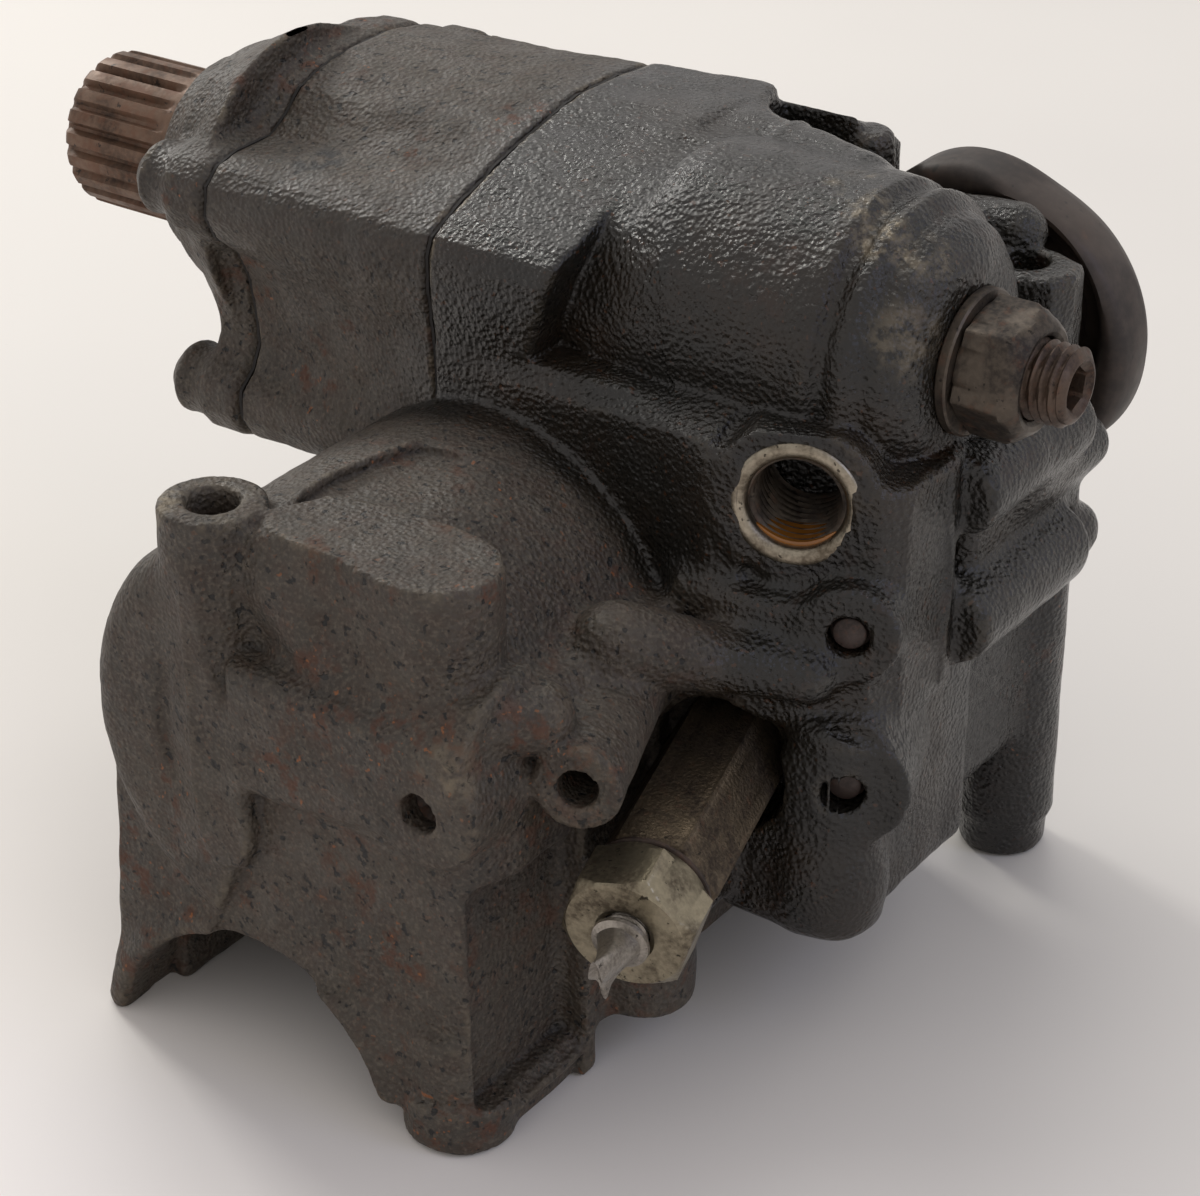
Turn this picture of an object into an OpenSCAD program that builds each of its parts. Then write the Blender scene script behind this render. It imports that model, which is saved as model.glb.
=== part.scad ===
// Axial piston pump with an integral gear charge stage, cast saddle base and side relief valve.
// Stations named *_x are distances along the drive shaft, measured from the end of the splined stub.
// Every module works in shaft coordinates: X along the shaft, origin at the splined end, Z up.

/* [Placement] */
// Height of the shaft axis above the feet
shaft_z = 138; // [132:0.5:144]
// X of the splined end, so that the origin lies under the middle of the pump
shaft_end_x = -120.25; // [-140:0.01:-100]
// Y of the shaft axis, so that the origin lies under the middle of the pump
shaft_y = 15.9; // [10:0.01:30]

/* [Drive shaft] */
// Outer radius of the splined stub
spline_r = 17.46; // [15:0.01:18]
// Number of spline teeth
spline_teeth = 21; // [18:1:24]
// Depth of the spline grooves
spline_depth = 1.6; // [1:0.1:2]
// Length of the splined stub
spline_len = 31; // [26:0.5:34]
// Radius of the shaft journals in the cover
journal_r = 13; // [12:0.25:14]
// Radius of the shaft inside the pump
inner_shaft_r = 7.5; // [7:0.25:7.75]
// Width of the edge chamfers on the shaft
shaft_chamfer = 1.5; // [0.5:0.25:2.5]

/* [Seams along the shaft] */
// Front face of the cover hub
hub_x = 34; // [33:0.5:36]
// Seam between the front cover and the gear housing
seam1_x = 62; // [60:0.5:64]
// Seam between the gear housing and the main housing
seam2_x = 120.5; // [119:0.5:122]
// Thickness of the two paper gaskets
gasket_t = 0.8; // [0.4:0.1:1.2]
// Thickness of the cover flange
cover_flange_t = 8.5; // [7:0.5:10]

/* [Body outline] */
// Radius of the round body
body_r = 38.5; // [38:0.5:40]
// Y of the body's middle
body_y = 12; // [10:0.5:14]
// Z of the body's middle
body_z = -11; // [-13:0.5:-9]
// Extra width of the body towards +Y
body_spread = 12; // [10:0.5:16]
// Radius of the upper bolt ear
ear_r = 9.5; // [8.5:0.5:10.5]
// Radius of the cover bolts
bolt_r = 4; // [3:0.5:4.5]
// Depth of the shoulder behind the second seam
shoulder_len = 29; // [26:1:31]

/* [Barrel] */
// Outer radius of the barrel
barrel_r = 31.5; // [31:0.5:33]
// Length of the barrel from its seam to the round end
barrel_len = 79.5; // [77.5:0.5:81.5]
// Length from the start of the round end to the face of the adjuster boss
dome_len = 19.5; // [18:0.5:21]
// Radius of the adjuster boss
boss_r = 15.5; // [14:0.5:17]
// Radius of the cavity that holds the rotating group
cavity_r = 24.5; // [24:0.25:25]
// Radius of the narrower cavity around the cylinder block
block_cavity_r = 20.5; // [19.75:0.25:21]

/* [Drum and base] */
// Radius of the cross drum
drum_r = 46; // [44:0.5:47]
// Station of the drum axis
drum_x = 136; // [134:0.5:138]
// Z of the drum axis
drum_z = -65; // [-67:0.5:-63]
// Y of the front face
front_y = -112; // [-115:0.5:-110]
// Y of the back wall of the base
back_y = 34; // [30:1:38]
// Wall of the base
base_wall = 7; // [6:0.5:9]
// Station of the left wall of the base
base_left_x = 92; // [90:0.5:94]
// Station of the right wall of the base
base_right_x = 186; // [184:0.5:188]
// Height of the arch in the front wall
arch_h = 28; // [24:0.5:30]
// Radius of the arch
arch_r = 34; // [32:0.5:35]
// Radius of the bolt tower
tower_r = 10.6; // [10:0.1:12]
// Radius of the hole through the bolt tower
tower_hole_r = 5.25; // [4.5:0.05:5.5]
// Z of the top of the bolt tower
tower_top = -17; // [-19:0.5:-15]
// Radius of the flat pad
pad_r = 12; // [10:0.5:13]

/* [Ports] */
// Minor radius of the pressure port thread
port_r = 9.2; // [8:0.1:10]
// Radius of the machined ring around the port
port_ring_r = 13; // [12.5:0.1:13.5]
// Depth of the port bore
port_depth = 22; // [16:0.5:24]
// Angle of the port and valve axes from -Y towards +X
port_angle = 22; // [18:0.5:26]
// Angle of the relief valve axis from -Y towards +X
valve_angle = 13; // [11:0.5:16]
// Radius of the core plugs
plug_r = 4.1; // [3.5:0.1:5]

/* [Relief valve] */
// Across flats of the valve body
valve_af = 22; // [20:0.5:23]
// Length of the valve body outside its seat
valve_len = 42; // [38:0.5:46]
// Across flats of the valve lock nut
valve_nut_af = 24; // [22:0.5:25]
// Height of the valve lock nut
valve_nut_h = 13; // [10:0.5:14]
// Radius of the relief adjusting stem
stem_r = 4.5; // [4:0.25:5]

/* [Adjuster] */
// Thread radius of the adjusting screw
screw_r = 8; // [7:0.25:8.5]
// Across flats of the lock nut
nut_af = 24; // [22:0.5:26]
// Height of the lock nut
nut_h = 11; // [9:0.5:12]
// Across flats of the hex socket
socket_af = 8; // [6:0.5:9]
// Length of the adjusting screw
screw_len = 30; // [28:0.5:31]

/* [Gear stage] */
// Gear module
gear_m = 2; // [1.9:0.05:2.05]
// Teeth on each gear
gear_teeth = 16; // [16:1:16]
// Face width of the gears
gear_w = 27; // [24:0.5:28]
// Thickness of the bearing bushes
bush_t = 7; // [6:0.25:7.5]

/* [Rotating group] */
// Outer radius of the cylinder block
block_r = 18; // [17.75:0.25:18.5]
// Length of the cylinder block
block_len = 34; // [30:0.5:36]
// Number of pistons
piston_count = 7; // [5:2:7]
// Radius of the pistons
piston_r = 3.2; // [2.8:0.1:3.2]
// Radius of the piston circle
piston_circle_r = 12.7; // [12.6:0.1:12.8]
// Length of the pistons
piston_len = 30; // [26:0.5:31]
// Thickness of the valve plate
valve_plate_t = 4; // [3:0.5:5]
// Thickness of the swash plate
swash_t = 9; // [8:0.5:10]
// Radius of the swash plate pin
swash_pin_r = 3; // [2.5:0.25:3.5]
// Radius of the control piston
control_r = 9; // [8:0.25:10]

/* [Side flange] */
// Outer radius of the side flange
flange_r = 32; // [31:0.5:34]
// Depth of the side flange
flange_depth = 24; // [23:0.5:25]
// Radius of the side bearing
side_bearing_r = 13; // [12:0.5:14]

/* [Fits] */
// Radial clearance of a running fit
run_clear = 0.05; // [0.02:0.01:0.09]
// Gap between soft or loosely seated pieces
seat_gap = 0.3; // [0.2:0.05:0.4]

/* [Hidden] */
$fn = 96;
hull_fn = 32;
eps = 0.01;

IRON = "#35322f";
STEEL = "#8d8a86";
RUSTY = "#5a4136";

// Positions of the body ears and bolts across the shaft, as [y, z]
upper_ear = [-30, 7];
lower_ear = [-23.5, -42];
web_y = -36.2;
waist_y = -24;
low_right_ear = [body_y + body_spread + 14, -43];
right_ear = [body_y + body_spread + body_r - 6, 8];
ears = [upper_ear, lower_ear, low_right_ear, right_ear];

// Gear stage: the second gear lies down and to +Y, on a 4:3 slope
pitch_r = gear_m * gear_teeth / 2;
centre_distance = gear_m * gear_teeth;
driven_y = centre_distance * 0.8;
driven_z = -centre_distance * 0.6;
tip_r = pitch_r + gear_m * 0.95;
root_r = pitch_r - gear_m * 1.25;
gear_cavity_r = tip_r + 0.2;
gear_cavity_x = seam2_x - gasket_t - 11;
bush1_x = seam1_x + gasket_t;
rear_bush_x = gear_cavity_x - bush_t;
gear_x = (bush1_x + bush_t + rear_bush_x - gear_w) / 2;

// Stations of the rotating group
main_x = seam2_x;
dome_x = seam2_x + barrel_len;
boss_x = dome_x + dome_len;
block_x = main_x + valve_plate_t + seat_gap;
block_end_x = block_x + block_len;
slipper_x = block_end_x + 6.5;
slipper_t = 6;
slipper_neck_r = 3.6;
swash_face_x = slipper_x + slipper_t + seat_gap;
swash_x = swash_face_x;
guide_r = inner_shaft_r + 1.2;
pin_x = swash_x + 4.5;
pin_z = -29;
lever_z = -50;
lever_r = 5;
bearing_x = dome_x - 3;
bearing_w = 11;
bearing_r = 17;
thrust_x = bearing_x + bearing_w;
thrust_t = 2.5;
spring_end_x = boss_x - 4.5;
screw_x = thrust_x + thrust_t;
washer_t = 2;
nut_x = boss_x + washer_t;

// Front cover stations
seal_x = hub_x + 1;
seal_w = 7;
seal_r = 19;
front_bearing_x = seal_x + seal_w + 1;
front_bearing_w = 12;
front_bearing_r = 20.5;

// Port, valve and plug placing, as points on the outside
port_p = [206, -37, -20];
valve_tilt = 8;
valve_p = [194.5, -40, -76.5];
plug1_p = [219.5, -38.5, -43.5];
plug2_p = [220.5, -39.5, -76.5];
column_p = [215.5, -34];
column_bottom = -112;
passage_plug_r = 5.5;
passage_p = [[223, -26], [223, -55]];
passage_end = [38, 40];
port_face = 0.6;
tower_p = [119, -102.4];
tower_bottom = -92;
pad_p = [[147, -96], [167.5, -96.3]];
pad_top = -17.5;
pad_side = pad_r - 0.15;
bolt_ear_p = [175, -60];
boss2_p = [196, -94, -57];
ground = -shaft_z;
foot2_p = [187, -59];
foot2_bottom = -shaft_z + 11;
foot3_p = [212, 48];
foot4_p = [102, 26];

// Side flange, on an axis along Y
side_x = 194;
side_z = -19;
side_y = 58.2;
side_stub_r = 9;

module at_shaft() {
    translate([shaft_end_x, shaft_y, shaft_z]) children();
}

module xcyl(x0, x1, r, y = 0, z = 0) {
    translate([x0, y, z]) rotate([0, 90, 0]) cylinder(h = x1 - x0, r = r);
}

module xcone(x0, x1, r0, r1, y = 0, z = 0) {
    translate([x0, y, z]) rotate([0, 90, 0]) cylinder(h = x1 - x0, r1 = r0, r2 = r1);
}

module ycyl(y0, y1, r, x, z) {
    translate([x, y0, z]) rotate([-90, 0, 0]) cylinder(h = y1 - y0, r = r);
}

module zcyl(z0, z1, r, x, y) {
    translate([x, y, z0]) cylinder(h = z1 - z0, r = r);
}

module box(x0, x1, y0, y1, z0, z1) {
    translate([x0, y0, z0]) cube([x1 - x0, y1 - y0, z1 - z0]);
}

// A cylinder that starts at point p and runs outwards along the port direction
module port_cyl(p, d0, d1, r) {
    translate(p) rotate([0, 0, port_angle]) rotate([90, 0, 0])
        translate([0, 0, d0]) cylinder(h = d1 - d0, r = r);
}

module valve_cyl(d0, d1, r) {
    translate(valve_p) rotate([0, 0, valve_angle]) rotate([90 + valve_tilt, 0, 0])
        translate([0, 0, d0]) cylinder(h = d1 - d0, r = r);
}

module valve_hex(d0, d1, af, turn = 0) {
    translate(valve_p) rotate([0, 0, valve_angle]) rotate([90 + valve_tilt, 0, 0])
        translate([0, 0, d0]) rotate([0, 0, turn])
            cylinder(h = d1 - d0, r = af / sqrt(3), $fn = 6);
}

// Turns a [y, z] drawing so that it is extruded along X
module along_x(x0, x1) {
    translate([x0, 0, 0]) rotate([90, 0, 90]) linear_extrude(height = x1 - x0) children();
}

// Turns an [x, y] drawing so that it is extruded up from z0 to z1
module up_z(z0, z1) {
    translate([0, 0, z0]) linear_extrude(height = z1 - z0) children();
}

// Turns an [x, z] drawing so that it is extruded along Y
module along_y(y0, y1) {
    translate([0, y1, 0]) rotate([90, 0, 0]) linear_extrude(height = y1 - y0) children();
}

// The wall between the two left ears, which fills up towards the main housing
module ear_web(x0, x1, y0, y1) {
    up_z(lower_ear[1] - 2, upper_ear[1])
        polygon([[x0, y0], [x1, y1], [x1, body_y], [x0, body_y]]);
}

// Outline of the seams in [y, z]: a round body, spread towards +Y, with four bolt ears
module body_outline() {
    translate([body_y, body_z]) circle(r = body_r);
    translate([body_y + body_spread, body_z]) circle(r = body_r);
    translate([body_y, body_z - body_r]) square([body_spread, 2 * body_r]);
    for (e = ears) {
        translate(e) circle(r = ear_r);
        reach = e[0] < body_y ? body_y - e[0] : body_y + body_spread - e[0];
        translate([min(e[0], e[0] + reach), e[1] - ear_r]) square([abs(reach), 2 * ear_r]);
    }
}

// Inner line of the gaskets: clear of the bushes and of the bolt ears
module gasket_window() {
    circle(r = block_cavity_r + 1);
    translate([driven_y, driven_z]) circle(r = gear_cavity_r + 1);
}

module bolt_holes(x0, x1, r) {
    for (e = ears) xcyl(x0, x1, r, e[0], e[1]);
}

module front_cover() {
    color(IRON) at_shaft() difference() {
        union() {
            along_x(seam1_x - cover_flange_t, seam1_x) body_outline();
            xcone(hub_x, hub_x + 10, 22, 26);
            xcone(hub_x + 10, seam1_x - cover_flange_t, 26, 31);
            for (e = [upper_ear, lower_ear, low_right_ear, right_ear]) {
                xcyl(hub_x + 9, seam1_x, ear_r - 2, e[0], e[1]);
                xcone(hub_x + 5, hub_x + 9, ear_r - 5, ear_r - 2, e[0], e[1]);
            }
            xcyl(seam1_x - cover_flange_t - 6, seam1_x, 15, driven_y, driven_z);
        }
        xcyl(hub_x - 1, seam1_x + 1, journal_r + 2);
        xcyl(seal_x, seal_x + seal_w + 1, seal_r);
        xcyl(front_bearing_x, seam1_x + 1, front_bearing_r);
        xcyl(seam1_x - 8, seam1_x + 1, inner_shaft_r + 0.5, driven_y, driven_z);
        bolt_holes(hub_x + 14, seam1_x + 1, bolt_r + run_clear);
    }
}

module cover_gasket() {
    color("#6b5f4a") at_shaft() difference() {
        along_x(seam1_x, seam1_x + gasket_t) difference() {
            body_outline();
            gasket_window();
        }
        bolt_holes(seam1_x - 1, seam1_x + gasket_t + 1, bolt_r + 0.4);
    }
}

module figure8(x0, x1, r) {
    xcyl(x0, x1, r);
    xcyl(x0, x1, r, driven_y, driven_z);
}

module gear_housing() {
    color(IRON) at_shaft() difference() {
        union() {
            along_x(seam1_x + gasket_t, seam2_x - gasket_t) body_outline();
            ear_web(seam1_x + 4, seam2_x - gasket_t, waist_y, web_y);
        }
        figure8(seam1_x, gear_cavity_x, gear_cavity_r);
        xcyl(seam1_x, seam2_x, inner_shaft_r + 1.5);
        xcyl(gear_cavity_x - 1, gear_cavity_x + 5, inner_shaft_r + 0.5, driven_y, driven_z);
        bolt_holes(seam1_x, seam2_x, bolt_r + 0.4);
    }
}

module housing_gasket() {
    color("#6b5f4a") at_shaft() difference() {
        union() {
            along_x(seam2_x - gasket_t, seam2_x) difference() {
                body_outline();
                gasket_window();
            }
            box(seam2_x - gasket_t, seam2_x, web_y, waist_y, lower_ear[1] - 2, upper_ear[1]);
        }
        bolt_holes(seam2_x - 2, seam2_x + 1, bolt_r + 0.4);
    }
}

// Cast mass of the main housing around the shaft axis
module barrel_mass() {
    along_x(seam2_x, seam2_x + shoulder_len) {
        body_outline();
        polygon([[body_y, 27.4], [upper_ear[0] - 3, upper_ear[1] + ear_r - 1], upper_ear, [body_y, 0]]);
    }
    box(seam2_x, seam2_x + shoulder_len, web_y, body_y, lower_ear[1] - 2, upper_ear[1]);
    // Spine along the top back
    up_z(0, body_z + body_r + 1) polygon([[seam2_x, 0], [seam2_x, 39], [152, 38.5], [190, 13], [190, 0]]);
    xcyl(seam2_x + shoulder_len - 1, dome_x, barrel_r);
    xcone(dome_x, dome_x + 6, barrel_r, barrel_r - 1);
    xcone(dome_x + 6, dome_x + 11, barrel_r - 1, barrel_r - 3.5);
    xcone(dome_x + 11, boss_x - 4, barrel_r - 3.5, barrel_r - 7);
    xcone(boss_x - 4, boss_x - 2, barrel_r - 7, barrel_r - 10);
    xcyl(dome_x, boss_x, boss_r);
}

// Shelf under the barrel and the end block with the cross passages
module end_block() {
    along_x(seam2_x, 196) polygon([[-36, -14], [-36, -60], [20, -60], [20, -8], [-20, -8]]);
    box(150, 209, 10, 46, -62, -6);
    up_z(-66, -15.2) polygon([[176, -36], [203, -37.8], [222, -30.2], [221.5, 36], [176, 36]]);
    up_z(column_bottom - 1, -60)
        polygon([[176, -34], [206, -36.5], [222, -32], [222, 9], [200, 20], [176, 34]]);
    for (i = [0, 1]) ycyl(-20, passage_end[i], 9, passage_p[i][0], passage_p[i][1]);
    port_cyl(port_p, -30, 0, port_ring_r + 3);
    port_cyl(port_p, -5, port_face, port_ring_r);
    port_cyl(plug1_p, -22, 0, 10);
    port_cyl(plug2_p, -24, 0, 13);
    valve_cyl(-14, 3, valve_af / 2 + 5);
    zcyl(column_bottom, -70, 10, column_p[0], column_p[1]);
    box(194, column_p[0], column_p[1] - 10, column_p[1] + 10, column_bottom, -70);
    box(203, 216, 26, 48, ground + 30, -50);
    // Back corner: arm, hole block and knob beside the barrel
    xcyl(150, 198, 8, 48, 3);
    zcyl(-12, 16, 6, 166, 48);
    zcyl(-30, 4, 11.5, 207, 46);
    ycyl(20, side_y + 2, 14, side_x, side_z);
    ycyl(20, side_y + flange_depth - 1, side_stub_r, side_x, side_z);
}

module drum_mass() {
    difference() {
        translate([drum_x, front_y + 1, drum_z]) rotate([-90, 0, 0]) {
            cylinder(h = 3, r1 = drum_r - 7, r2 = drum_r - 2.5);
            translate([0, 0, 3]) cylinder(h = 5, r1 = drum_r - 2.5, r2 = drum_r);
            translate([0, 0, 8]) cylinder(h = back_y - front_y - 9, r = drum_r);
        }
        // Step back of the front face above the ledge, so that the pad stands clear
        box(127, drum_x + drum_r + 1, front_y - 1, front_y + 6, -46, 0);
    }
    zcyl(tower_bottom, tower_top, tower_r, tower_p[0], tower_p[1]);
    up_z(-60, pad_top) {
        for (p = pad_p) translate(p) circle(r = pad_r);
        translate(pad_p[0])
            rotate(atan2(pad_p[1][1] - pad_p[0][1], pad_p[1][0] - pad_p[0][0]))
                translate([0, -pad_side]) square([norm(pad_p[1] - pad_p[0]), 2 * pad_side]);
    }
    // Bolt ledge across the front, with its two ears
    box(130, bolt_ear_p[0], front_y - 2, front_y + 24, -72, -45);
    ycyl(front_y - 2, front_y + 24, 12, bolt_ear_p[0] + 1, bolt_ear_p[1]);
    port_cyl(boss2_p, -40, 0, 11);
    box(160, 192, front_y + 22, -30, -75, -44);
}

module base_mass() {
    corner = 12;
    up_z(ground, drum_z) difference() {
        translate([base_left_x, front_y]) square([base_right_x - base_left_x, back_y - front_y]);
        translate([base_right_x - corner, front_y - 1]) square([corner + 1, corner + 1]);
    }
    zcyl(ground, drum_z, corner, base_right_x - corner, front_y + corner);
    zcyl(foot2_bottom, -98, 11, foot2_p[0], foot2_p[1]);
    box(base_right_x - 8, 200, foot2_p[1] - 4, foot2_p[1] + 24, ground + 30, -98);
    zcyl(ground, -60, 10.5, foot3_p[0], foot3_p[1]);
    box(base_right_x - 4, foot3_p[0], 10, foot3_p[1] + 6, ground + 30, -60);
}

// Hollow under the drum: open at the bottom, with the arch in the front wall
module base_hollow() {
    box(base_left_x + base_wall, base_right_x - base_wall, front_y + base_wall, back_y - base_wall,
        ground - 1, drum_z - 6);
    ycyl(front_y - 1, front_y + base_wall + 1, arch_r, base_left_x + 36.5,
        ground + arch_h - arch_r);
    // Recess in the right side of the front foot
    box(base_right_x - 5, base_right_x + 1, front_y + 13, foot2_p[1] - 12, ground + 9, -76);
    // The right wall stands clear of the table behind the front foot
    box(base_right_x - 14, base_right_x + 1, foot2_p[1] - 14, back_y + 1, ground - 1, ground + 10);
}

// Everything that is cut out of the main housing around the rotating group
module group_cavity() {
    xcyl(seam2_x - 1, bearing_x - 3, block_cavity_r);
    xcyl(seam2_x + shoulder_len + 6, bearing_x - 3, cavity_r);
    xcyl(bearing_x - 4, thrust_x + thrust_t + 1, bearing_r);
    xcyl(thrust_x, boss_x + 1, screw_r);
    // Slot for the swash lever, and the bores of the control piston and its spring
    box(swash_x - 6, swash_x + swash_t + 8, -12, 12, lever_z - 12, 0);
    xcyl(swash_x - 36, swash_x + 2, control_r + run_clear, 0, lever_z);
    xcyl(swash_x + swash_t, spring_end_x, control_r - 1, 0, lever_z);
    ycyl(-23, 23, swash_pin_r + run_clear, pin_x, pin_z);
}

module main_housing() {
    color("#2a2927") at_shaft() difference() {
        union() {
            barrel_mass();
            end_block();
            drum_mass();
            base_mass();
        }
        base_hollow();
        group_cavity();
        // Room for the gear housing above the drum, and for a spanner around the valve body
        box(seam1_x - 20, seam2_x, web_y - 1, 95, lower_ear[1] - ear_r - 4, 60);
        valve_cyl(3, 75, valve_nut_af / sqrt(3) + 0.8);
        port_cyl(port_p, -port_depth, 1, port_r);
        valve_cyl(-10, 4, valve_af / 2 - 2);
        port_cyl(plug1_p, -8, 1, plug_r);
        port_cyl(plug2_p, -8, 1, plug_r);
        ycyl(front_y - 3, front_y + 16, bolt_r, bolt_ear_p[0], bolt_ear_p[1]);
        port_cyl(boss2_p, -16, 1, bolt_r);
        zcyl(tower_bottom - 1, tower_top + 1, tower_hole_r, tower_p[0], tower_p[1]);
        zcyl(-22, 12, 5, 207, 46);
        bolt_holes(seam2_x - 1, seam2_x + shoulder_len - 4, bolt_r + run_clear);
        for (i = [0, 1])
            ycyl(passage_end[i] - 12, passage_end[i] + 3, passage_plug_r, passage_p[i][0],
                passage_p[i][1]);
    }
}

// Long studs that clamp the three castings between the blind bosses of the cover and housing
module through_studs() {
    color(STEEL) at_shaft() for (e = ears)
        xcyl(hub_x + 14.5, seam2_x + shoulder_len - 4.5, bolt_r, e[0], e[1]);
}

module drive_shaft() {
    color(RUSTY) at_shaft() difference() {
        union() {
            xcone(0, shaft_chamfer, spline_r - shaft_chamfer, spline_r);
            xcyl(shaft_chamfer, spline_len, spline_r);
            xcone(spline_len, spline_len + 2, spline_r, journal_r);
            xcyl(spline_len, seam1_x - 3, journal_r);
            xcyl(seam1_x - 4, thrust_x - 1, inner_shaft_r);
        }
        for (i = [0:spline_teeth - 1]) rotate([i * 360 / spline_teeth, 0, 0])
            translate([-1, 0, spline_r - spline_depth]) along_x(0, spline_len - 2)
                    polygon([[0, 0], [spline_depth, spline_depth * 1.3],
                        [-spline_depth, spline_depth * 1.3]]);
        xcone(-1, 4, 4, 0.5);
    }
}

module shaft_seal() {
    color("#151515") at_shaft() difference() {
        xcyl(seal_x + 0.2, seal_x + seal_w, seal_r);
        xcyl(seal_x - 1, seal_x + 1.4, journal_r + 1.6);
        xcyl(seal_x - 1, seal_x + seal_w + 1, journal_r + run_clear);
    }
}

module roller_bearing(x, w, inner, outer) {
    cage = (inner + outer) / 2;
    difference() {
        xcyl(x, x + w, outer);
        xcyl(x - 1, x + w + 1, cage + 1.2);
    }
    difference() {
        xcyl(x + 0.5, x + w - 0.5, cage + 1.2);
        xcyl(x - 1, x + w + 1, inner);
    }
}

module front_bearing() {
    color(STEEL) at_shaft() roller_bearing(front_bearing_x, front_bearing_w,
        journal_r + run_clear, front_bearing_r);
}

module rear_bearing() {
    color(STEEL) at_shaft() roller_bearing(bearing_x, bearing_w - 0.5,
        inner_shaft_r + run_clear, bearing_r);
}

// Straight-sided tooth, narrower than its gap by the backlash
module gear_profile() {
    tooth_half = 360 / gear_teeth / 4;
    root_half = tooth_half * 1.45;
    tip_half = tooth_half * 0.42;
    circle(r = root_r);
    for (i = [0:gear_teeth - 1]) rotate(i * 360 / gear_teeth)
        polygon([
            (root_r - 1) * [cos(root_half), sin(root_half)],
            pitch_r * [cos(tooth_half * 0.9), sin(tooth_half * 0.9)],
            tip_r * [cos(tip_half), sin(tip_half)],
            tip_r * [cos(tip_half), -sin(tip_half)],
            pitch_r * [cos(tooth_half * 0.9), -sin(tooth_half * 0.9)],
            (root_r - 1) * [cos(root_half), -sin(root_half)]]);
}

// The line of centres points along this angle in the [y, z] drawing
mesh_angle = atan2(driven_z, driven_y);

module drive_gear() {
    color(STEEL) at_shaft() difference() {
        union() {
            along_x(gear_x, gear_x + gear_w) rotate(mesh_angle) gear_profile();
            xcyl(gear_x, gear_x + gear_w, root_r - 0.2);
        }
        xcyl(gear_x - 1, gear_x + gear_w + 1, inner_shaft_r);
    }
}

module driven_gear() {
    color(STEEL) at_shaft() {
        along_x(gear_x, gear_x + gear_w) translate([driven_y, driven_z])
            rotate(mesh_angle + 180 + 180 / gear_teeth) gear_profile();
        xcyl(seam1_x - 6, gear_x, inner_shaft_r, driven_y, driven_z);
        xcyl(gear_x + gear_w, gear_cavity_x + 4, inner_shaft_r, driven_y, driven_z);
    }
}

module bush(x0) {
    difference() {
        figure8(x0, x0 + bush_t, gear_cavity_r - run_clear);
        figure8(x0 - 1, x0 + bush_t + 1, inner_shaft_r + run_clear);
    }
}

module front_bush() {
    color("#a08040") at_shaft() bush(bush1_x);
}

module rear_bush() {
    color("#a08040") at_shaft() bush(rear_bush_x);
}

module valve_plate() {
    color("#a08040") at_shaft() difference() {
        xcyl(main_x, main_x + valve_plate_t, block_cavity_r - run_clear);
        xcyl(main_x - 1, main_x + valve_plate_t + 1, inner_shaft_r + 1);
        for (s = [-1, 1], a = [-50:20:50]) rotate([a + (s > 0 ? 0 : 180), 0, 0])
            xcyl(main_x - 1, main_x + valve_plate_t + 1, 2.5, piston_circle_r, 0);
    }
}

module cylinder_block() {
    color(STEEL) at_shaft() difference() {
        xcyl(block_x, block_end_x, block_r);
        xcyl(block_x - 1, block_end_x + 1, inner_shaft_r);
        for (i = [0:piston_count - 1]) rotate([i * 360 / piston_count, 0, 0])
            xcyl(block_x + 5, block_end_x + 1, piston_r + run_clear, 0, piston_circle_r);
    }
}

module pistons() {
    color(STEEL) at_shaft() for (i = [0:piston_count - 1])
        rotate([i * 360 / piston_count, 0, 0]) {
            xcyl(slipper_x - piston_len, slipper_x - 1, piston_r, 0, piston_circle_r);
            xcyl(slipper_x - 1.5, slipper_x + 1, piston_r - 1.2, 0, piston_circle_r);
        }
}

module slippers() {
    color("#a08040") at_shaft() for (i = [0:piston_count - 1])
        rotate([i * 360 / piston_count, 0, 0]) {
            xcyl(slipper_x + 1, slipper_x + slipper_t - 2, slipper_neck_r, 0, piston_circle_r);
            xcyl(slipper_x + slipper_t - 2, slipper_x + slipper_t, 4.8, 0, piston_circle_r);
        }
}

module retainer_plate() {
    color(STEEL) at_shaft() difference() {
        xcyl(slipper_x + 1.8, slipper_x + 3.8, block_r);
        xcyl(slipper_x, slipper_x + 5, guide_r);
        for (i = [0:piston_count - 1]) rotate([i * 360 / piston_count, 0, 0])
            xcyl(slipper_x, slipper_x + 5, slipper_neck_r + 0.2, 0, piston_circle_r);
    }
}

module ball_guide() {
    color(STEEL) at_shaft() difference() {
        xcone(block_end_x + 4, slipper_x + 3.8, inner_shaft_r + 0.6, guide_r);
        xcyl(block_end_x, slipper_x + 5, inner_shaft_r);
    }
}

module block_spring() {
    color(STEEL) at_shaft() coil(block_end_x, block_end_x + 4, inner_shaft_r + 1.15, 1, 3, 0, 0);
}

module swash_plate() {
    color(STEEL) at_shaft() difference() {
        union() {
            xcyl(swash_x, swash_x + swash_t, block_r + 3);
            box(swash_x, swash_x + swash_t, -9, 9, pin_z - 5, -10);
            box(swash_x + 2, swash_x + swash_t - 2, -4, 4, lever_z, pin_z);
            ycyl(-4, 4, lever_r - 1, swash_x + 5, lever_z);
        }
        xcyl(swash_x - 1, swash_x + swash_t + 1, inner_shaft_r + 2);
        ycyl(-10, 10, swash_pin_r + run_clear, pin_x, pin_z);
    }
}

module swash_pin() {
    color(STEEL) at_shaft() ycyl(-22.5, 22.5, swash_pin_r, pin_x, pin_z);
}

module control_piston() {
    color(STEEL) at_shaft() difference() {
        xcyl(swash_x - 26, swash_x + 1 - seat_gap, control_r, 0, lever_z);
        xcyl(swash_x - 27, swash_x - 8, control_r - 3, 0, lever_z);
    }
}

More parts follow.
